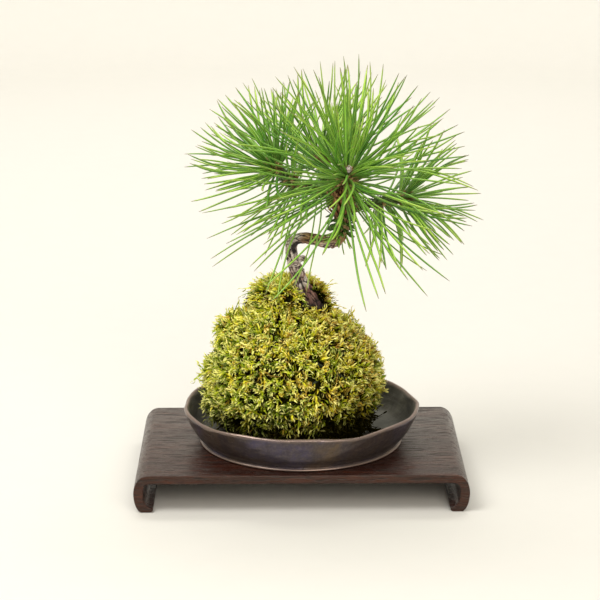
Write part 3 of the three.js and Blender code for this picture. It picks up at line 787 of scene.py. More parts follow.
def add_surroundings():
    """A plain pale round floor that curves up to a low wall all round, under large soft lights."""
    bend = np.linspace(0, math.pi / 2, 16)
    arc = np.stack([FLOOR_FLAT + FLOOR_CURVE * np.sin(bend), FLOOR_CURVE * (1 - np.cos(bend))], 1)
    section = np.vstack([(1, 0), arc, (FLOOR_FLAT + FLOOR_CURVE, WALL_HEIGHT)])
    points = around(section[:, :1], turns(FLOOR_SIDES), section[:, 1:]).reshape(-1, 3)
    mesh = make_mesh("floor", points, ring_quads(len(section), FLOOR_SIDES), {})
    mesh.materials.append(floor_material())
    add_object("floor", mesh)
    world = bpy.data.worlds.new("studio")
    world.use_nodes = True
    sky = world.node_tree.nodes["Background"]
    sky.inputs["Color"].default_value = (*WARM_WHITE, 1)
    sky.inputs["Strength"].default_value = SKY_STRENGTH
    bpy.context.scene.world = world
    for light in LIGHTS:
        add_light(*light)


# Stand

def ellipse(centre, radii, start, end, steps):
    a = np.radians(np.linspace(start, end, steps + 1))[1:]
    return np.stack([centre[0] + radii[0] * np.cos(a), centre[1] + radii[1] * np.sin(a)], 1)


def curled_end():
    """The right end of the board's outline, from its top round the shoulder, heel and foot."""
    half = STAND_WIDTH / 2
    foot_tip = half - HEEL_REACH - FOOT_WIDTH
    inner = half - LEG_THICKNESS
    under = STAND_HEIGHT - BOARD_THICKNESS
    toe = (foot_tip - FOOT_BACK, FOOT_RISE)
    shoulder = (SHOULDER_REACH, STAND_HEIGHT - LEG_MIDDLE)
    t = np.linspace(0, 1, 9)[1:]
    return np.vstack([
        (half - SHOULDER_REACH, STAND_HEIGHT),
        ellipse((half - SHOULDER_REACH, LEG_MIDDLE), shoulder, 90, 0, 18),
        ellipse((half - HEEL_REACH, LEG_MIDDLE), (HEEL_REACH, LEG_MIDDLE), 0, -90, 18),
        (foot_tip, 0),
        quadratic_at(((foot_tip, 0), (foot_tip - FOOT_TURN, FOOT_LIFT), toe), t),
        quadratic_at((toe, (inner - 0.4, FOOT_RISE + 1), (inner, LEG_FLAT[0])), t),
        (inner, LEG_FLAT[1]),
        quadratic_at(((inner, LEG_FLAT[1]), (inner, under), (inner - BOARD_CORNER, under)), t),
    ])


def outward_normals(outline):
    """Unit normals of a closed outline that runs clockwise."""
    edges = np.roll(outline, -1, 0) - outline
    normals = unit(np.stack([-edges[:, 1], edges[:, 0]], 1))
    return unit(normals + np.roll(normals, 1, 0))


def build_stand():
    """The board with its curled legs, its front and back edges slightly rounded."""
    right = curled_end()
    outline = np.vstack([right, right[::-1] * [-1, 1]])
    normals = outward_normals(outline)
    bend = np.radians(np.linspace(90, 0, 6))
    front = np.stack([STAND_EDGE * (1 - np.sin(bend)) - STAND_DEPTH / 2, STAND_EDGE * (1 - np.cos(bend))], 1)
    stations = np.vstack([front, front[::-1] * [-1, 1]])
    loops = np.array([[(x, y, z) for x, z in outline - normals * inset] for y, inset in stations])
    count = len(outline)
    quads = ring_quads(len(stations), count)[:, [0, 3, 2, 1]]
    last = (len(stations) - 1) * count
    ends = [list(range(count)), list(range(last, last + count))[::-1]]
    mesh = bpy.data.meshes.new("stand_board")
    mesh.from_pydata(in_metres(loops).reshape(-1, 3).tolist(), [], quads.tolist() + ends)
    mesh.update()
    mesh.shade_smooth()
    mesh.set_sharp_from_angle(angle=math.radians(35))
    add_piece(mesh, wood_material(), ["stand"])


# Dish

def dish_profile():
    """Half of the dish's section from the middle of its base out, over the rim and back, rounded."""
    foot, rim, top = DISH_FOOT, DISH_RIM, DISH_HEIGHT
    corners = [
        (foot - 0.6, 0), (foot, 0.6), (foot - 0.4, 1.3), (foot - 0.9, 1.7), (foot + 2.3, 5.6),
        (foot + 5.1, 10.6), (foot + 7, 15.2), (rim, top - 1), (rim - 0.4, top - 0.2),
        (rim - 1.2, top), (rim - 1.9, top - 0.7), (foot + 4.7, 15), (foot + 2.1, 9.4),
        (foot - 1.1, 5.4), (foot - 4.6, DISH_FLOOR + 0.5), (foot - 9, DISH_FLOOR),
    ]
    per_corner = 5
    t = np.linspace(0, 1, (len(corners) - 1) * per_corner + 1)
    wall = spline([(x, 0, z) for x, z in corners], t)[:, [0, 2]]
    inward = np.array([0.85, 0.6, 0.35, 0.12])
    base = np.stack([(foot - 0.6) * inward[::-1], np.zeros(4)], 1)
    floor = np.stack([(foot - 9) * inward, np.full(4, DISH_FLOOR)], 1)
    return np.vstack([base, wall, floor])


def build_dish():
    """The dish with its wavy wall and rim, and the small unevenness of a wall pressed by hand."""
    profile = dish_profile()
    angles = turns(DISH_SIDES)
    radius, height = profile[:, :1], profile[:, 1:]
    in_wall = smoothstep(radius, 0.8 * DISH_FOOT, DISH_FOOT + 2)
    strength = in_wall * np.maximum(0, height - DISH_FLOOR) / (DISH_HEIGHT - DISH_FLOOR)
    touch = sum(size * np.sin(count * angles + slope * height) for count, size, slope in TOUCH_WAVES)
    out = radius + strength * (waves(WALL_WAVES, angles) + touch)
    up = height + strength * waves(RIM_WAVES, angles)
    points, faces = skin(around(out, angles, DISH_BOTTOM + up) + [*DISH_CENTRE, 0])
    rim = np.exp(-((height - DISH_HEIGHT) / 0.9) ** 2)
    foot = np.exp(-(np.hypot(radius - DISH_FOOT, height - 0.7) / 0.75) ** 2)
    inside = np.arange(len(profile)) > np.argmax(height)
    values = {
        "edge": np.append(np.repeat((rim + foot).clip(0, 1), DISH_SIDES), [0, 0]),
        "inside": np.append(np.repeat(inside, DISH_SIDES), [0, 1]),
    }
    add_parts("dish_glazed", [(points, faces, values)], glaze_material(), ["dish"])


# Needles

def segment_gaps(first, others):
    """Shortest distances between one straight piece and many, as (start, end) and arrays of them."""
    u = first[1] - first[0]
    v = others[1] - others[0]
    w = first[0] - others[0]
    uu, uv, vv = u @ u, v @ u, (v * v).sum(1)
    uw, vw = w @ u, (v * w).sum(1)
    spread = uu * vv - uv * uv
    s = np.where(spread > 1e-9, np.clip((uv * vw - vv * uw) / np.maximum(spread, 1e-9), 0, 1), 0)
    t = np.clip((uv * s + vw) / vv, 0, 1)
    s = np.clip((uv * t - uw) / uu, 0, 1)
    return np.linalg.norm(w + u * s[:, None] - v * t[:, None], axis=1)


class Taken:
    """The straight pieces that needles have to stay clear of."""

    def __init__(self):
        self.rows = np.zeros((0, 9))

    def add(self, start, end, radius, owner, rooted=0):
        self.rows = np.vstack([self.rows, [*start, *end, radius, owner, rooted]])

    def is_clear(self, start, end, radius, owner, rooted, gap, limbs_too=True):
        rows = self.rows
        skip = (rows[:, 7] == owner) & ((rows[:, 8] == 1) | bool(rooted))
        if rooted and not limbs_too:
            skip |= rows[:, 7] == LIMB_OWNER
        rows = rows[~skip]
        distances = segment_gaps((start, end), (rows[:, 0:3], rows[:, 3:6]))
        return bool((distances > radius + rows[:, 6] + gap).all())


def swells(ways, table):
    """The sum of round swells over the ball, each given as a direction, a height and a spread."""
    total = np.zeros(len(ways))
    for place, height, spread in table:
        angle = np.degrees(np.arccos(np.clip(ways @ unit(place), -1, 1)))
        total += height * np.exp(-(angle / spread) ** 2)
    return total


def mat_radius(ways):
    """The radius of the moss mat, without its shoots, in directions from the ball's centre."""
    ways = np.atleast_2d(ways)
    x, y, z = ways.T
    from_top = np.degrees(np.arccos(np.clip(ways @ unit(COLLAR_WAY), -1, 1)))
    lumps = LUMP_HEIGHT * np.sin(5.2 * x + 2.1 * z + 0.4) * np.sin(4.3 * y - 3.1 * z)
    ripples = RIPPLE_HEIGHT * np.sin(11.3 * x - 4.2 * y) * np.sin(9.7 * z + 6.1 * y)
    collar = COLLAR_RISE * (1 - smoothstep(from_top, *COLLAR_EDGE))
    shoulder = SHOULDER_DIP * np.exp(-((from_top - SHOULDER_PLACE) / SHOULDER_SPREAD) ** 2)
    return MAT_RADIUS + lumps + ripples + collar - shoulder + swells(ways, MAT_SWELLS)


def above_moss(point):
    way = point - BALL_CENTRE
    return np.linalg.norm(way) > mat_radius(unit(way))[0] + 1.4 * TUFT_HEIGHT


def in_box(point):
    """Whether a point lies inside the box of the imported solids."""
    place = (point + shift) * MM
    return all(low < value < high for low, value, high in zip(cad_box[0], place, cad_box[1]))


def pair_curves(spray, seed, index, attempt):
    """One try at placing a pair of needles on a shoot, as two curves of three points each."""
    rule = PAIR_RULE
    key = (seed, index, attempt)
    along = index / (spray["pairs"] - 1)
    loosen = 1 + rule["loosening"] * attempt
    turn = index * GOLDEN_ANGLE + loosen * rule["turn_sway"] * sway(*key, 1)
    tilt = lerp(*spray["tilt"], along ** rule["tilt_curve"]) + loosen * rule["tilt_sway"] * sway(*key, 2)
    axis = unit(spray["axis"])
    across = unit(np.cross((0, 1, 0), axis))
    side = turned(across, axis, math.radians(turn))
    way = axis * math.cos(math.radians(tilt)) + side * math.sin(math.radians(tilt))
    climb = lerp(rule["first_root"], spray["shoot"] - rule["last_root"], along)
    root = np.array(spray["base"], float) + axis * climb + side * rule["root_depth"] * SHOOT_RADIUS
    split = turned(unit(np.cross(way, axis)), way, math.pi * draw(*key, 3))
    length = lerp(*spray["reach"], along) * (1 + rule["reach_sway"] * sway(*key, 4))
    bend = turned(split, way, math.radians(rule["bend_way"])) * rule["bend"] * length * sway(*key, 5)
    bend[2] += rule["lift"] * length
    opening = math.radians(lerp(*rule["opening"], draw(*key, 6)))
    curves = []
    for hand in (-1, 1):
        own = unit(way + split * hand * math.tan(opening))
        start = root + split * hand * rule["root_spacing"]
        reach = length * (1 + rule["own_reach_sway"] * sway(*key, 7 + hand))
        curves.append((start, start + own * reach / 2, start + own * reach + bend))
    return curves


def on_shoot(spray, distances):
    """Points on the axis of a shoot."""
    return np.array(spray["base"]) + unit(spray["axis"]) * np.asarray(distances)[..., None]


def lead_in(spray, radius):
    """The end of a limb, which leads into its shoot."""
    return [(*on_shoot(spray, -back), radius) for back in (5, CUT_GAP)]


LIMBS = {
    "apex": [*TRUNK_ROUTE, *lead_in(SPRAYS["apex"], 2.6)],
    **{name: [*points, *lead_in(SPRAYS[name], 1.7)] for name, points in BRANCH_ROUTES.items()},
}


def try_pair(curves, taken, owner, radius, gap, limbs_too=True):
    """Takes the place of a pair of needles if all their pieces are clear, and says whether it did."""
    pieces = []
    for curve in curves:
        line = quadratic_at(curve, NEEDLE_STATIONS)
        for i in range(len(line) - 1):
            if not above_moss(line[i + 1]):
                return False
            if not taken.is_clear(line[i], line[i + 1], radius, owner, i == 0, gap, limbs_too):
                return False
            pieces.append((line[i], line[i + 1], radius, owner, float(i == 0)))
    for piece in pieces:
        taken.add(*piece)
    return True


def grow_pairs(spray, taken, seed, owner, tries, extra=False):
    """The pairs of a spray, each tried again until it is clear of all others."""
    width, gap = (EXTRA_WIDTH, EXTRA_GAP) if extra else (NEEDLE_WIDTH, NEEDLE_GAP)
    pairs = []
    for index in range(spray["pairs"]):
        for attempt in tries:
            pair = pair_curves(spray, seed, index, attempt)
            inside = not extra or all(in_box(curve[2]) for curve in pair)
            if inside and try_pair(pair, taken, owner, width / 2, gap, not extra):
                pairs.append(pair)
                break
    return pairs


def place_needles():
    """The needles of the solids, by spray, and the room that they, the stems and the buds take."""
    taken = Taken()
    for limb in LIMBS.values():
        line, radii = along_limb(limb, np.linspace(0, 1, 6 * len(limb) + 1))
        for start, end, radius in zip(line, line[1:], radii):
            taken.add(start, end, LIMB_ROOM * radius, LIMB_OWNER)
    for spray in SPRAYS.values():
        bud = on_shoot(spray, spray["shoot"] + np.array([0, BUD_LENGTH]))
        taken.add(*bud, BUD_RADIUS, BUD_OWNER)
    placed = {name: grow_pairs(spray, taken, seed, seed, range(PAIR_RULE["tries"]))
              for seed, (name, spray) in enumerate(SPRAYS.items())}
    return placed, taken


def older_spray(name):
    """The stretch of stem below a shoot that still carries last year's needles."""
    pairs, start, reach, tilt = OLDER_PAIRS[name]
    (base, end), _ = along_limb(LIMBS[name], [start, 1])
    return {"base": base, "axis": end - base, "shoot": np.linalg.norm(end - base), "pairs": pairs,
            "reach": reach, "tilt": tilt}


def extra_pairs(taken):
    """Slimmer needles between those of the solids, and older ones on the stems below them."""
    added = {}
    for seed, (name, spray) in enumerate(SPRAYS.items()):
        young = {**spray, "pairs": EXTRA_PAIRS[name]}
        added[name] = [pair for source, owner, first in ((young, seed, 8), (older_spray(name), seed + 40, 3))
                       for pair in grow_pairs(source, taken, owner + 20, owner,
                                              range(first, first + EXTRA_TRIES), True)]
    return added


def opened_pair(root, reach, side, gaps, lengths=(1, 1), rise=0):
    """Two needles that stand apart to both sides by gaps at their roots, middles and tips."""
    return [(root + side * gaps[0] * hand, root + reach / 2 + side * gaps[1] * hand + [0, 0, rise],
             root + reach * length + side * gaps[2] * hand) for hand, length in zip((-1, 1), lengths)]


def hanging_pairs():
    """The long needles that hang from the stem under the apex, bowed up between root and tip."""
    pairs = []
    for index, (root, tip) in enumerate(HANGING_NEEDLES):
        root = np.array(root) + [sway(key, index) for key in (81, 82, 83)]
        reach = np.array(tip) - root
        gaps = (0.3, 1.2, 2.5 + sway(85, index))
        lengths = [1 + 0.05 * sway(84, index, key) for key in (0, 2)]
        pairs.append(opened_pair(root, reach, unit(np.cross(reach, (0, 1, 0.3))), gaps, lengths,
                                 0.08 * np.linalg.norm(reach)))
    return pairs


def hides_stem(pair):
    (left, right), height = STEM_WINDOW
    x, y, z = (pair[0][2] + pair[1][2]) / 2
    return left < x < right and y < 0 and z < height


def candle_pairs():
    """The youngest needles, short and upright behind the bud in the middle of the top rosette."""
    tip = on_shoot(SPRAYS["apex"], SPRAYS["apex"]["shoot"] - 1)
    pairs = []
    for index in range(CANDLE_PAIRS):
        way = unit((0.42 * sway(95, index), 0.2 + 0.25 * sway(96, index), 1))
        reach = way * (30 + 12 * sway(97, index))
        root = tip + [1.3 * sway(98, index), 0.6, 0.6 + 0.5 * sway(99, index)]
        pairs.append(opened_pair(root, reach, unit(np.cross(way, (0, 1, 0))), (0, 0.3, 1.3)))
    return pairs


def stub_pairs(start, end, count, length, back):
    """Stumps of old needles round the stem below the apex, pointing out and back down it."""
    line, _ = along_limb(LIMBS["apex"], np.linspace(start, end, count))
    tangents, normals, binormals = frames_along(line)
    pairs = []
    for index, out in enumerate(out_of(normals, binormals, wound(count))):
        way = unit(out * 0.8 - tangents[index] * back)
        reach = way * length * (1 + 0.25 * sway(91, index))
        side = np.cross(out, tangents[index])
        pairs.append(opened_pair(line[index] + out * 2.2, reach, side, (0, 0.3, 1.1)))
    return pairs


def needle_parts(pairs, width, seed, fresh=0.5, dull=0):
    """Points, triangles and attributes of needles: half-round, each pair bowed alike, with long points."""
    t = np.linspace(0, 1, NEEDLE_STEPS) ** 0.8
    lines = np.array([quadratic_at(curve, t) for pair in pairs for curve in pair])
    count = len(lines)
    chords = lines[:, -1] - lines[:, 0]
    for key, sharing, height, bends in ((71, 2, NEEDLE_ARC, 1), (61, 1, NEEDLE_WAVE, 2)):
        for i, chord in enumerate(chords):
            *way, size = (sway(key + k, seed, i // sharing) for k in range(4))
            bow = height * size * np.linalg.norm(chord) * np.sin(t * bends * math.pi)
            lines[i] += unit(np.cross(chord, way)) * bow[:, None]
    share = np.interp(t, [0, 0.05, 0.3, 0.8, 0.95, 1], [0.8, 0.95, 1, 0.95, 0.65, 0.15])
    points, faces, along = tubes(lines, width / 2 * share, 6, 0.7, t)
    tone = [fresh + 0.5 * sway(31, seed, i // 2) + 0.2 * sway(32, seed, i) for i in range(count)]
    # Two lines of painted shade down the edges of each needle; dull darkens the rest of it with the same
    # dark green
    edge = np.append(np.tile([1, dull, dull], 2 * NEEDLE_STEPS), [dull, dull])
    return points, faces, {
        "along": along,
        "tone": np.repeat(np.clip(tone, 0, 1), len(edge)),
        "edge": np.resize(edge, len(points)),
    }


def sheath_parts(pairs):
    """The brown sheath round the root of each pair of needles."""
    t = np.linspace(0, 0.085, 5)
    lines = np.array([(quadratic_at(a, t) + quadratic_at(b, t)) / 2 for a, b in pairs])
    points, faces, along = tubes(lines, [0.8, 1, 0.98, 0.92, 0.6], 7)
    return points, faces, {"along": along, "green": 0.3}


def shoot_parts(spray):
    """The slim shoot that carries a spray."""
    shares = np.array([(0, 0.85), (0.2, 1), (0.5, 0.97), (0.75, 0.9), (0.92, 0.7), (1, 0.45)])
    line = on_shoot(spray, shares[:, 0] * spray["shoot"])
    points, faces, _ = tubes(line, SHOOT_RADIUS * shares[:, 1], 16)
    return points, faces, {"along": 0.3, "green": 0.8}


def build_needles():
    placed, taken = place_needles()
    added = extra_pairs(taken)
    green = needle_material()
    brown = scale_material()
    for seed, (name, spray) in enumerate(SPRAYS.items()):
        main, more = ([pair for pair in pairs[name] if not hides_stem(pair)] for pairs in (placed, added))
        if name == "apex":
            more += hanging_pairs()
        parts = [needle_parts(main, NEEDLE_WIDTH, seed), needle_parts(more, EXTRA_WIDTH, seed + 10)]
        if name == "apex":
            parts += [
                needle_parts(candle_pairs(), NEEDLE_WIDTH, seed + 32, 1.5),
                needle_parts(stub_pairs(0.735, 0.8, 10, 7, 0.75), 1, seed + 30, 0.8, 0.3),
                needle_parts(stub_pairs(0.79, 0.88, 34, 5, 0.2), 1.5, seed + 31, -0.2, 0.8),
            ]
        add_parts(f"needles_{name}_fine", parts, green, ["needles_" + name])
        add_parts("sheaths_" + name, [shoot_parts(spray), sheath_parts(main + more)], brown)


# Scales and bud

def stem_scales(line, radii, count, length, width, lift, key, green=0):
    """Small pointed scales, closed and folded, wound up a stem by the golden angle."""
    place = (np.arange(count) + 0.5) / count * (len(line) - 1)
    index = np.minimum(place.astype(int), len(line) - 2)
    tangents, normals, binormals = (way[index] for way in frames_along(line))
    outs = out_of(normals, binormals, wound(count))
    centres = lerp(line[index], line[index + 1], (place - index)[:, None])
    roots = centres + outs * np.interp(place, np.arange(len(line)), radii)[:, None] * 0.93
    size = np.array([[length * (1 + 0.3 * sway(key, i, 0))] for i in range(count)])
    broad = np.array([[width * (1 + 0.25 * sway(key, i, 1))] for i in range(count)])
    ways = unit(tangents + 0.12 * outs)
    side = unit(np.cross(ways, outs)) * broad
    middle = roots + ways * size * 0.5 + outs * size * (lift + 0.05)
    points = np.stack([
        roots - side * 0.4, roots + side * 0.4,
        middle - side * 0.5, middle + side * 0.5, middle + outs * broad * 0.22,
        roots + ways * size + outs * size * lift * 1.3, roots + outs * broad * 0.2,
    ], 1)
    along = np.tile([0, 0, 0.55, 0.55, 0.6, 1, 0.1], count)
    return *copied(points, SCALE_FACES), {"along": along, "green": green}


def build_scales():
    line, radii = along_limb(LIMBS["apex"], np.linspace(0.86, 1, 24))
    parts = [stem_scales(line, 1.15 * radii, 170, 6.4, 2.6, 0.42, 41)]
    for number, name in enumerate(BRANCH_ROUTES):
        line, radii = along_limb(LIMBS[name], np.linspace(0.25, 1, 20))
        parts.append(stem_scales(line, radii, 90, 3.6, 1.5, 0.18, 42 + number, 0.9))
    t = np.linspace(0, 1, 10)
    radii = SHOOT_RADIUS * np.interp(t, [0, 0.2, 0.75, 1], [0.85, 1, 0.9, 0.5])
    for number, spray in enumerate(SPRAYS.values()):
        line = on_shoot(spray, t * spray["shoot"])
        parts.append(stem_scales(line, radii, 70, 2.8, 1.3, 0.15, 46 + number, 0.5 if number else 0))
    add_parts("stem_scales", parts, scale_material())


def build_buds():
    """The pale bud of the apex, and small ones on the other shoots, each wound with scales."""
    parts = []
    for number, spray in enumerate(SPRAYS.values()):
        size = 0.55 if number else 1
        line = on_shoot(spray, spray["shoot"] + SEAT_GAP + np.linspace(-0.6, BUD_LENGTH * size, 9))
        radii = BUD_RADIUS * size * np.array([0.7, 0.85, 0.97, 1, 0.95, 0.82, 0.62, 0.36, 0.06])
        points, faces, along = tubes(line, radii, 12)
        parts.append((points, faces, {"along": along, "green": 0}))
        parts.append(stem_scales(line[:7], radii[:7], 26, 1.5 * size, 0.9 * size, 0.1, 51 + number))
    add_parts("buds_pale", parts, bud_material(), ["bud_apex"])


# Trunk

def limb_line(limb, step):
    """Points and radii along a limb, about a step apart, and their parameters."""
    rough, _ = along_limb(limb, np.linspace(0, 1, 200))
    length = np.linalg.norm(np.diff(rough, axis=0), axis=1).sum()
    t = np.linspace(0, 1, max(6, int(length / step)))
    return *along_limb(limb, t), t


def limb_parts(limb, sides, step, twist):
    line, radii, t = limb_line(limb, step)
    angles = turns(sides)
    ridges = 0.06 * np.sin(3 * angles + 14 * t[:, None]) + 0.045 * np.sin(5 * angles - twist * t[:, None])
    return *skin(rings_along(line, radii[:, None] * (1 + ridges), sides)), {}


def remeshed(mesh, voxel):
    """The mesh as one closed skin of small faces."""
    holder = add_object("remesh", mesh)
    modifier = holder.modifiers.new("remesh", "REMESH")
    modifier.mode = "VOXEL"
    modifier.voxel_size = voxel * MM
    graph = bpy.context.evaluated_depsgraph_get()
    result = bpy.data.meshes.new_from_object(holder.evaluated_get(graph))
    bpy.data.objects.remove(holder)
    result.shade_smooth()
    return result


def grain_places(points, limbs):
    """Where points lie on their nearest limb: across it in its own frame, and along it."""
    rows = []
    for number, limb in enumerate(limbs):
        line, _, _ = limb_line(limb, 0.8)
        steps = np.linalg.norm(np.diff(line, axis=0, prepend=line[:1]), axis=1)
        rows.append(np.hstack([line, *frames_along(line), (40 * number + np.cumsum(steps))[:, None]]))
    rows = np.vstack(rows)
    nearest = np.concatenate([((part[:, None] - rows[:, :3]) ** 2).sum(2).argmin(1)
                              for part in np.array_split(points, 1 + len(points) // 4000)])
    own = rows[nearest]
    away = (own[:, 3:12].reshape(-1, 3, 3) * (points - own[:, :3])[:, None]).sum(2)
    return np.stack([away[:, 1], away[:, 2], own[:, 12] + away[:, 0]], 1)


def bark_relief(grain):
    """Height of the bark and the depth of its cracks, from flakes stretched along the limb."""
    lift = np.zeros(len(grain))
    crack = np.zeros(len(grain))
    for i, (across, upward, length) in enumerate(grain):
        warp = noise.noise(Vector((across * 0.5, upward * 0.5, length * 0.2))) * 0.9
        place = Vector((across * 0.62 + warp, upward * 0.62 - warp, length * 0.17 + warp * 0.4))
        distances, centres = noise.voronoi(place)
        crack[i] = 1 - min(1, (distances[1] - distances[0]) / 0.22)
        flake = noise.cell(centres[0] * 7.3)
        fine = noise.fractal(Vector((across * 1.6, upward * 1.6, length * 0.5)), 0.9, 2.1, 3)
        lift[i] = 0.26 * flake + 0.15 * fine - 0.55 * crack[i] ** 1.5
    return lift, crack


def point_values(mesh, key):
    """Places or normals of the points of a mesh."""
    values = np.zeros(len(mesh.vertices) * 3, np.float32)
    mesh.vertices.foreach_get(key, values)
    return values.reshape(-1, 3).astype(float)


def build_trunk():
    parts = [limb_parts(LIMBS["apex"], 40, 0.5, 31)]
    parts += [limb_parts(LIMBS[name], 24, 0.5, 31) for name in BRANCH_ROUTES]
    parts += [limb_parts(limb, 18, 0.4, 20) for limb in SNAG_ROUTES]
    parts += [limb_parts(limb, 12, 1.2, 20) for limb in SIDE_ROOTS]
    mesh = remeshed(make_mesh("trunk_rough", *join_parts(parts)), TRUNK_VOXEL)
    places = point_values(mesh, "co") / MM - shift
    grain = grain_places(places, [*LIMBS.values(), *SNAG_ROUTES])
    lift, crack = bark_relief(grain)
    height = np.interp(places[:, 2], [70, 90, 118, 128, 150], [1.5, 1.5, 1, 0.8, 0.4])
    hollow = near(places, TRUNK_HOLLOW, HOLLOW_SPREAD)
    moved = places + point_values(mesh, "normal") * (lift * height - 1.3 * hollow)[:, None]
    mesh.vertices.foreach_set("co", in_metres(moved))
    x, _, z = places.T
    set_values(mesh, {
        # The hollow adds painted shade to the dark of the cracks
        "crack": np.maximum(crack, 1.3 * hollow).clip(0, 1),
        "upper": smoothstep(z, 118, 122) * smoothstep(x, -2, 2),
        # Darker towards the foot and round the dark snag
        "darkened_bark": np.maximum(1 - smoothstep(z, 86, 101), near(places, DARK_SNAG, SNAG_SPREAD)),
        # Painted light on the upper left side of the trunk
        "lit": smoothstep(-x, -3, 3) * smoothstep(z, 100, 108),
    })
    flow = mesh.attributes.new("flow", "FLOAT_VECTOR", "POINT")
    flow.data.foreach_set("vector", (grain * [1, 1, 0.3] * MM).astype(np.float32).ravel())
    mesh.name = "pine_wood"
    mesh.update()
    add_piece(mesh, bark_material(), ["pine_trunk"])


# Moss

def on_ball(count, rng, stray):
    """Directions spread evenly over the ball, each a little astray."""
    z = 1 - 2 * (np.arange(count) + 0.5) / count
    ways = around(np.sqrt(1 - z * z), wound(count), z)
    return unit(ways + rng.normal(0, stray, (count, 3)))


def bare_share(points):
    """1 in the opening round the trunk and in the bare patch before it, and 0 where moss grows."""
    axis = unit(NECK_LEAN)
    away = points - NECK_PLACE
    from_axis = np.linalg.norm(away - (away @ axis)[:, None] * axis, axis=1)
    opening = 1 - smoothstep(from_axis, NECK_RADIUS - 1, NECK_RADIUS + 0.5)
    patch = 1 - smoothstep(np.linalg.norm(points - BARE_PLACE, axis=1), BARE_RADIUS - 1, BARE_RADIUS + 1)
    return np.where(points[:, 2] > BALL_CENTRE[2] + 25, np.maximum(opening, patch), 0)


def build_mat():
    """The dark base of the mat, between the roots of its shoots, sunk to the soil where it is bare."""
    polar = np.linspace(0.02, math.pi - 0.02, MAT_RINGS)[:, None]
    ways = around(np.sin(polar), turns(MAT_SIDES), np.cos(polar)).reshape(-1, 3)
    radius = mat_radius(ways) - 0.8 + 0.6 * swells(ways, MOSS_SWELLS)
    bare = bare_share(BALL_CENTRE + ways * radius[:, None])
    points = BALL_CENTRE + ways * lerp(radius, SOIL_LEVEL, bare)[:, None]
    points[:, 2] = np.maximum(points[:, 2], MOSS_BOTTOM)
    points, faces = skin(points.reshape(MAT_RINGS, MAT_SIDES, 3)[::-1])
    add_parts("moss_mat_base", [(points, faces, {})], mat_material(), ["moss_mat"])


def root_rise(ways):
    """How far the shoots' roots follow the swells."""
    return 0.6 * swells(ways, MOSS_SWELLS) + 0.4 * swells(ways, SHOOT_SWELLS)


def grow_shoots(rng, count):
    """Curved stems of moss shoots, gathered in clumps over the ball, with a tone for each."""
    clumps = on_ball(CLUMP_COUNT, rng, 0.06)
    clump_tone = rng.normal(0, 0.12, CLUMP_COUNT)
    clump_rise = rng.normal(0, 0.9, CLUMP_COUNT)
    collar = unit(COLLAR_WAY)
    ways = np.vstack([on_ball(count, rng, 0.05), unit(collar + rng.normal(0, 0.26, (COLLAR_SHOOTS, 3)))])
    count = len(ways)
    nearest = np.argmax(ways @ clumps.T, 1)
    offset = (ways - clumps[nearest]) * MAT_RADIUS
    edge = smoothstep(np.linalg.norm(offset, axis=1, keepdims=True), 1.2, 4.2)
    sideways = 0.12 * offset + rng.normal(0, 0.8, (count, 3))
    downhill = ways - collar
    away = np.linalg.norm(downhill, axis=1, keepdims=True)
    flank = smoothstep(away, 0.15, 0.3) * (1 - smoothstep(away, 0.5, 0.65))
    sideways += 1.1 * downhill / (away + 0.05) * flank
    sideways -= ways * (sideways * ways).sum(1, keepdims=True)
    heading = unit(ways * rng.uniform(0.15, 1.3, (count, 1)) + sideways)
    curl = unit(rng.normal(0, 1, (count, 3)))
    length = rng.uniform(4.5, 9, (count, 1)) * (1 - 0.2 * edge)
    bend = length * rng.uniform(0.3, 0.9, (count, 1))
    lift = rng.uniform(-1, 1.8, count)
    t = np.linspace(0, 1, SHOOT_STEPS)[:, None]
    lines = (heading * length)[:, None] * t + (curl * bend)[:, None] * t ** 2
    ceiling = TUFT_HEIGHT * (0.75 - 0.35 * edge[:, 0]) + clump_rise[nearest] - lift
    ceiling += 0.4 * swells(ways, MOSS_SWELLS) + 0.6 * swells(ways, SHOOT_SWELLS)
    ceiling *= 1 - 0.5 * smoothstep(-ways[:, 2], 0.35, 0.75)
    reach = np.maximum((lines[:, -1] * ways).sum(1), 0.1)
    roots = BALL_CENTRE + ways * (mat_radius(ways) + lift + root_rise(ways))[:, None]
    lines = roots[:, None] + lines * np.clip(ceiling / reach, 0.3, 1)[:, None, None]
    lines[..., 2] = np.maximum(lines[..., 2], MOSS_BOTTOM + 0.5)
    x, _, z = ways.T
    # Tone: more golden to the right and in patches, the moss's own colour; lowered low on the ball as
    # painted shade and raised round the collar as painted light
    golden = 0.18 * x + 0.1 * np.sin(5 * x + 3 * z) * np.cos(4 * z) - 0.2 * smoothstep(-z, 0, 0.8)
    golden += 0.1 * smoothstep(z, 0.7, 0.95)
    tone = 0.44 + golden + clump_tone[nearest] + rng.normal(0, 0.17, count)
    return lines, tone.clip(0, 1)


def lit_share(points, roots):
    """Painted shade: 0 deep between the shoots and low on the ball, 1 at the tips, for equal runs of points
    by root.
    """
    ways = unit(roots - BALL_CENTRE)
    level = np.linalg.norm(roots - BALL_CENTRE, axis=1) - mat_radius(ways) - root_rise(ways)
    away = points.reshape(len(roots), -1, 3) - roots[:, None]
    height = level[:, None] + (away * ways[:, None]).sum(-1)
    x, _, z = ways.T[..., None]
    # Painted shade low on the ball and on its right, and painted light on the upper left and round the
    # collar
    shade = 0.98 * smoothstep(-z, -0.1, 0.65) + 0.25 * smoothstep(x, -0.1, 0.8)
    shade -= 0.5 * smoothstep(z - x, 0.3, 1.2)
    return (smoothstep(height, -0.4, 3.8) * (1 - shade)).clip(0, 1).ravel()


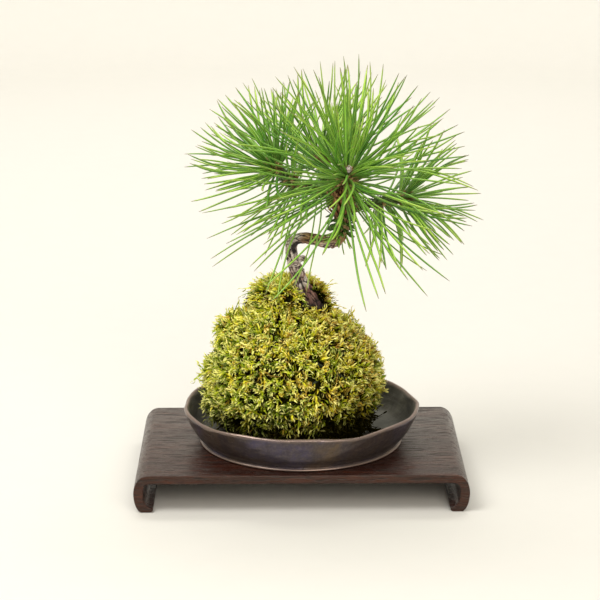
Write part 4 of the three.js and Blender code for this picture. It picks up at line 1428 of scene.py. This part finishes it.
def blades(roots, ways, outs, size, width):
    """Closed pointed leaves, bowed and keeled, twelve triangles each."""
    side = np.cross(ways, outs) * width
    rows = [roots]
    for share, rise, broad in ((0.33, 0.16, 1), (0.7, 0.16, 0.85)):
        centre = roots + (ways * share + outs * rise) * size
        rows += [centre + side * broad, centre - outs * width * broad * 0.6, centre - side * broad]
    rows.append(roots + (ways * 0.95 - outs * 0.14) * size)
    return copied(np.stack(rows, -2).reshape(-1, len(rows), 3), LEAF_FACES)


def moss_parts(lines, tone, rng):
    """Stems with pointed leaves in three ranks. Some stems are wiry, brown and almost bare."""
    count, steps, _ = lines.shape
    roots = lines[:, 0]
    wiry = rng.random(count) < WIRY_SHARE
    tone = np.where(wiry, rng.uniform(0.8, 1, count), tone)
    points, faces, along = tubes(lines, np.linspace(0.42, 0.16, steps), 3)
    stems = (points, faces, {
        "along": along * 0.75,
        "tone": np.repeat(tone, len(points) // count),
        "lit": lit_share(points, roots),
    })
    t = np.linspace(0.12, 1, SHOOT_LEAVES)
    place = t * (steps - 1)
    index = np.minimum(place.astype(int), steps - 2)
    base = lerp(lines[:, index], lines[:, index + 1], (place - index)[:, None])
    tangent, normal, binormal = (way[:, index] for way in frames_along(lines))
    shape = (count, SHOOT_LEAVES)
    rank = np.arange(SHOOT_LEAVES) * 2 * math.pi / 3
    out = out_of(normal, binormal, rank + rng.normal(0, 0.4, shape) + rng.uniform(0, 6.3, (count, 1)))
    size = lerp(LEAF_LENGTH, 0.7 * LEAF_LENGTH, t) * rng.uniform(0.7, 1.25, shape)
    size = (size * np.where(wiry, 0.4, 1)[:, None])[..., None]
    spread = (np.where(t > 0.97, 0.1, 0.36) * rng.uniform(0.3, 1.9, shape))[..., None]
    way = unit(tangent + spread * out)
    points, faces = blades(base, way, unit(out - spread * tangent), size, size * LEAF_WIDTH)
    leaf_along = (t[:, None] + [-0.2, 0, 0, 0, 0.1, 0.1, 0.1, 0.2]).clip(0, 1)
    leaf_tone = np.repeat(tone, SHOOT_LEAVES) + rng.normal(0, 0.08, count * SHOOT_LEAVES)
    leaves = (points, faces, {
        "along": np.resize(leaf_along, len(points)),
        "tone": np.repeat(leaf_tone, 8).clip(0, 1),
        "lit": lit_share(points, roots),
    })
    return [stems, leaves]


def stray_sprigs(rng):
    """Long sprigs that stand out of the ball or have fallen into the dish."""
    lines, tones = [], []
    t = np.linspace(0, 1, SHOOT_STEPS)[:, None]
    for place, way, length, count in STRAY_SPRIGS:
        for _ in range(count):
            start = np.array(place) + rng.normal(0, 1.3, 3) * [1, 1, 0.4]
            heading = unit(np.array(way) + rng.normal(0, 0.35, 3))
            curl = rng.normal(0, 0.22, 3) * length
            lines.append(start + heading * length * t * rng.uniform(0.7, 1.1) + curl * t ** 2)
            tones.append(rng.uniform(0.3, 0.7))
    lines = np.array(lines)
    lines[..., 2] = np.maximum(lines[..., 2], MOSS_BOTTOM + 0.5)
    return lines, np.array(tones)


def build_moss():
    material = moss_material()
    for group in range(MOSS_PIECES):
        rng = np.random.default_rng(100 + group)
        lines, tone = grow_shoots(rng, SHOOTS_PER_PIECE)
        grows = (bare_share(lines[:, 0]) < 0.4) & (bare_share(lines[:, -1]) < 0.6)
        grows &= lines[:, 0, 2] > MOSS_BOTTOM + 0.5
        parts = moss_parts(lines[grows], tone[grows], rng)
        if group == 0:
            parts += moss_parts(*stray_sprigs(rng), rng)
        add_parts(f"moss_shoots_{group + 1}", parts, material, smooth=False)


def build_crumbs():
    """Crumbs of soil round the foot of the trunk."""
    rng = np.random.default_rng(7)
    ways = unit(BARE_PLACE + [0, 4, 0] - BALL_CENTRE + rng.normal(0, 7, (CRUMB_COUNT, 3)))
    places = BALL_CENTRE + ways * (SOIL_LEVEL + rng.uniform(-0.8, 0.9, (CRUMB_COUNT, 1)))
    places = places[bare_share(places) > 0.1]
    ball = bmesh.new()
    bmesh.ops.create_icosphere(ball, subdivisions=1, radius=1)
    ball.verts.index_update()
    corners = np.array([corner.co for corner in ball.verts])
    sides = np.array([[corner.index for corner in side.verts] for side in ball.faces])
    ball.free()
    count = len(places)
    size = rng.uniform(0.45, 1.3, (count, 1, 1)) * rng.uniform(0.7, 1.2, (count, 1, 3))
    points = places[:, None] + corners * size * rng.uniform(0.85, 1.15, (count, len(corners), 1))
    add_parts("soil_crumbs", [(*copied(points, sides), {})], soil_material())


def dress_kept_nodes():
    """The nodes that stay get materials of their own."""
    for name, material in (("soil_ball", soil_material()), ("binding_thread", thread_material())):
        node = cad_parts[name]
        node.data.materials.clear()
        node.data.materials.append(material)


bpy.context.scene.view_settings.view_transform = "Standard"
add_camera()
add_surroundings()
build_stand()
build_dish()
build_needles()
build_scales()
build_buds()
build_trunk()
build_mat()
build_moss()
build_crumbs()
dress_kept_nodes()
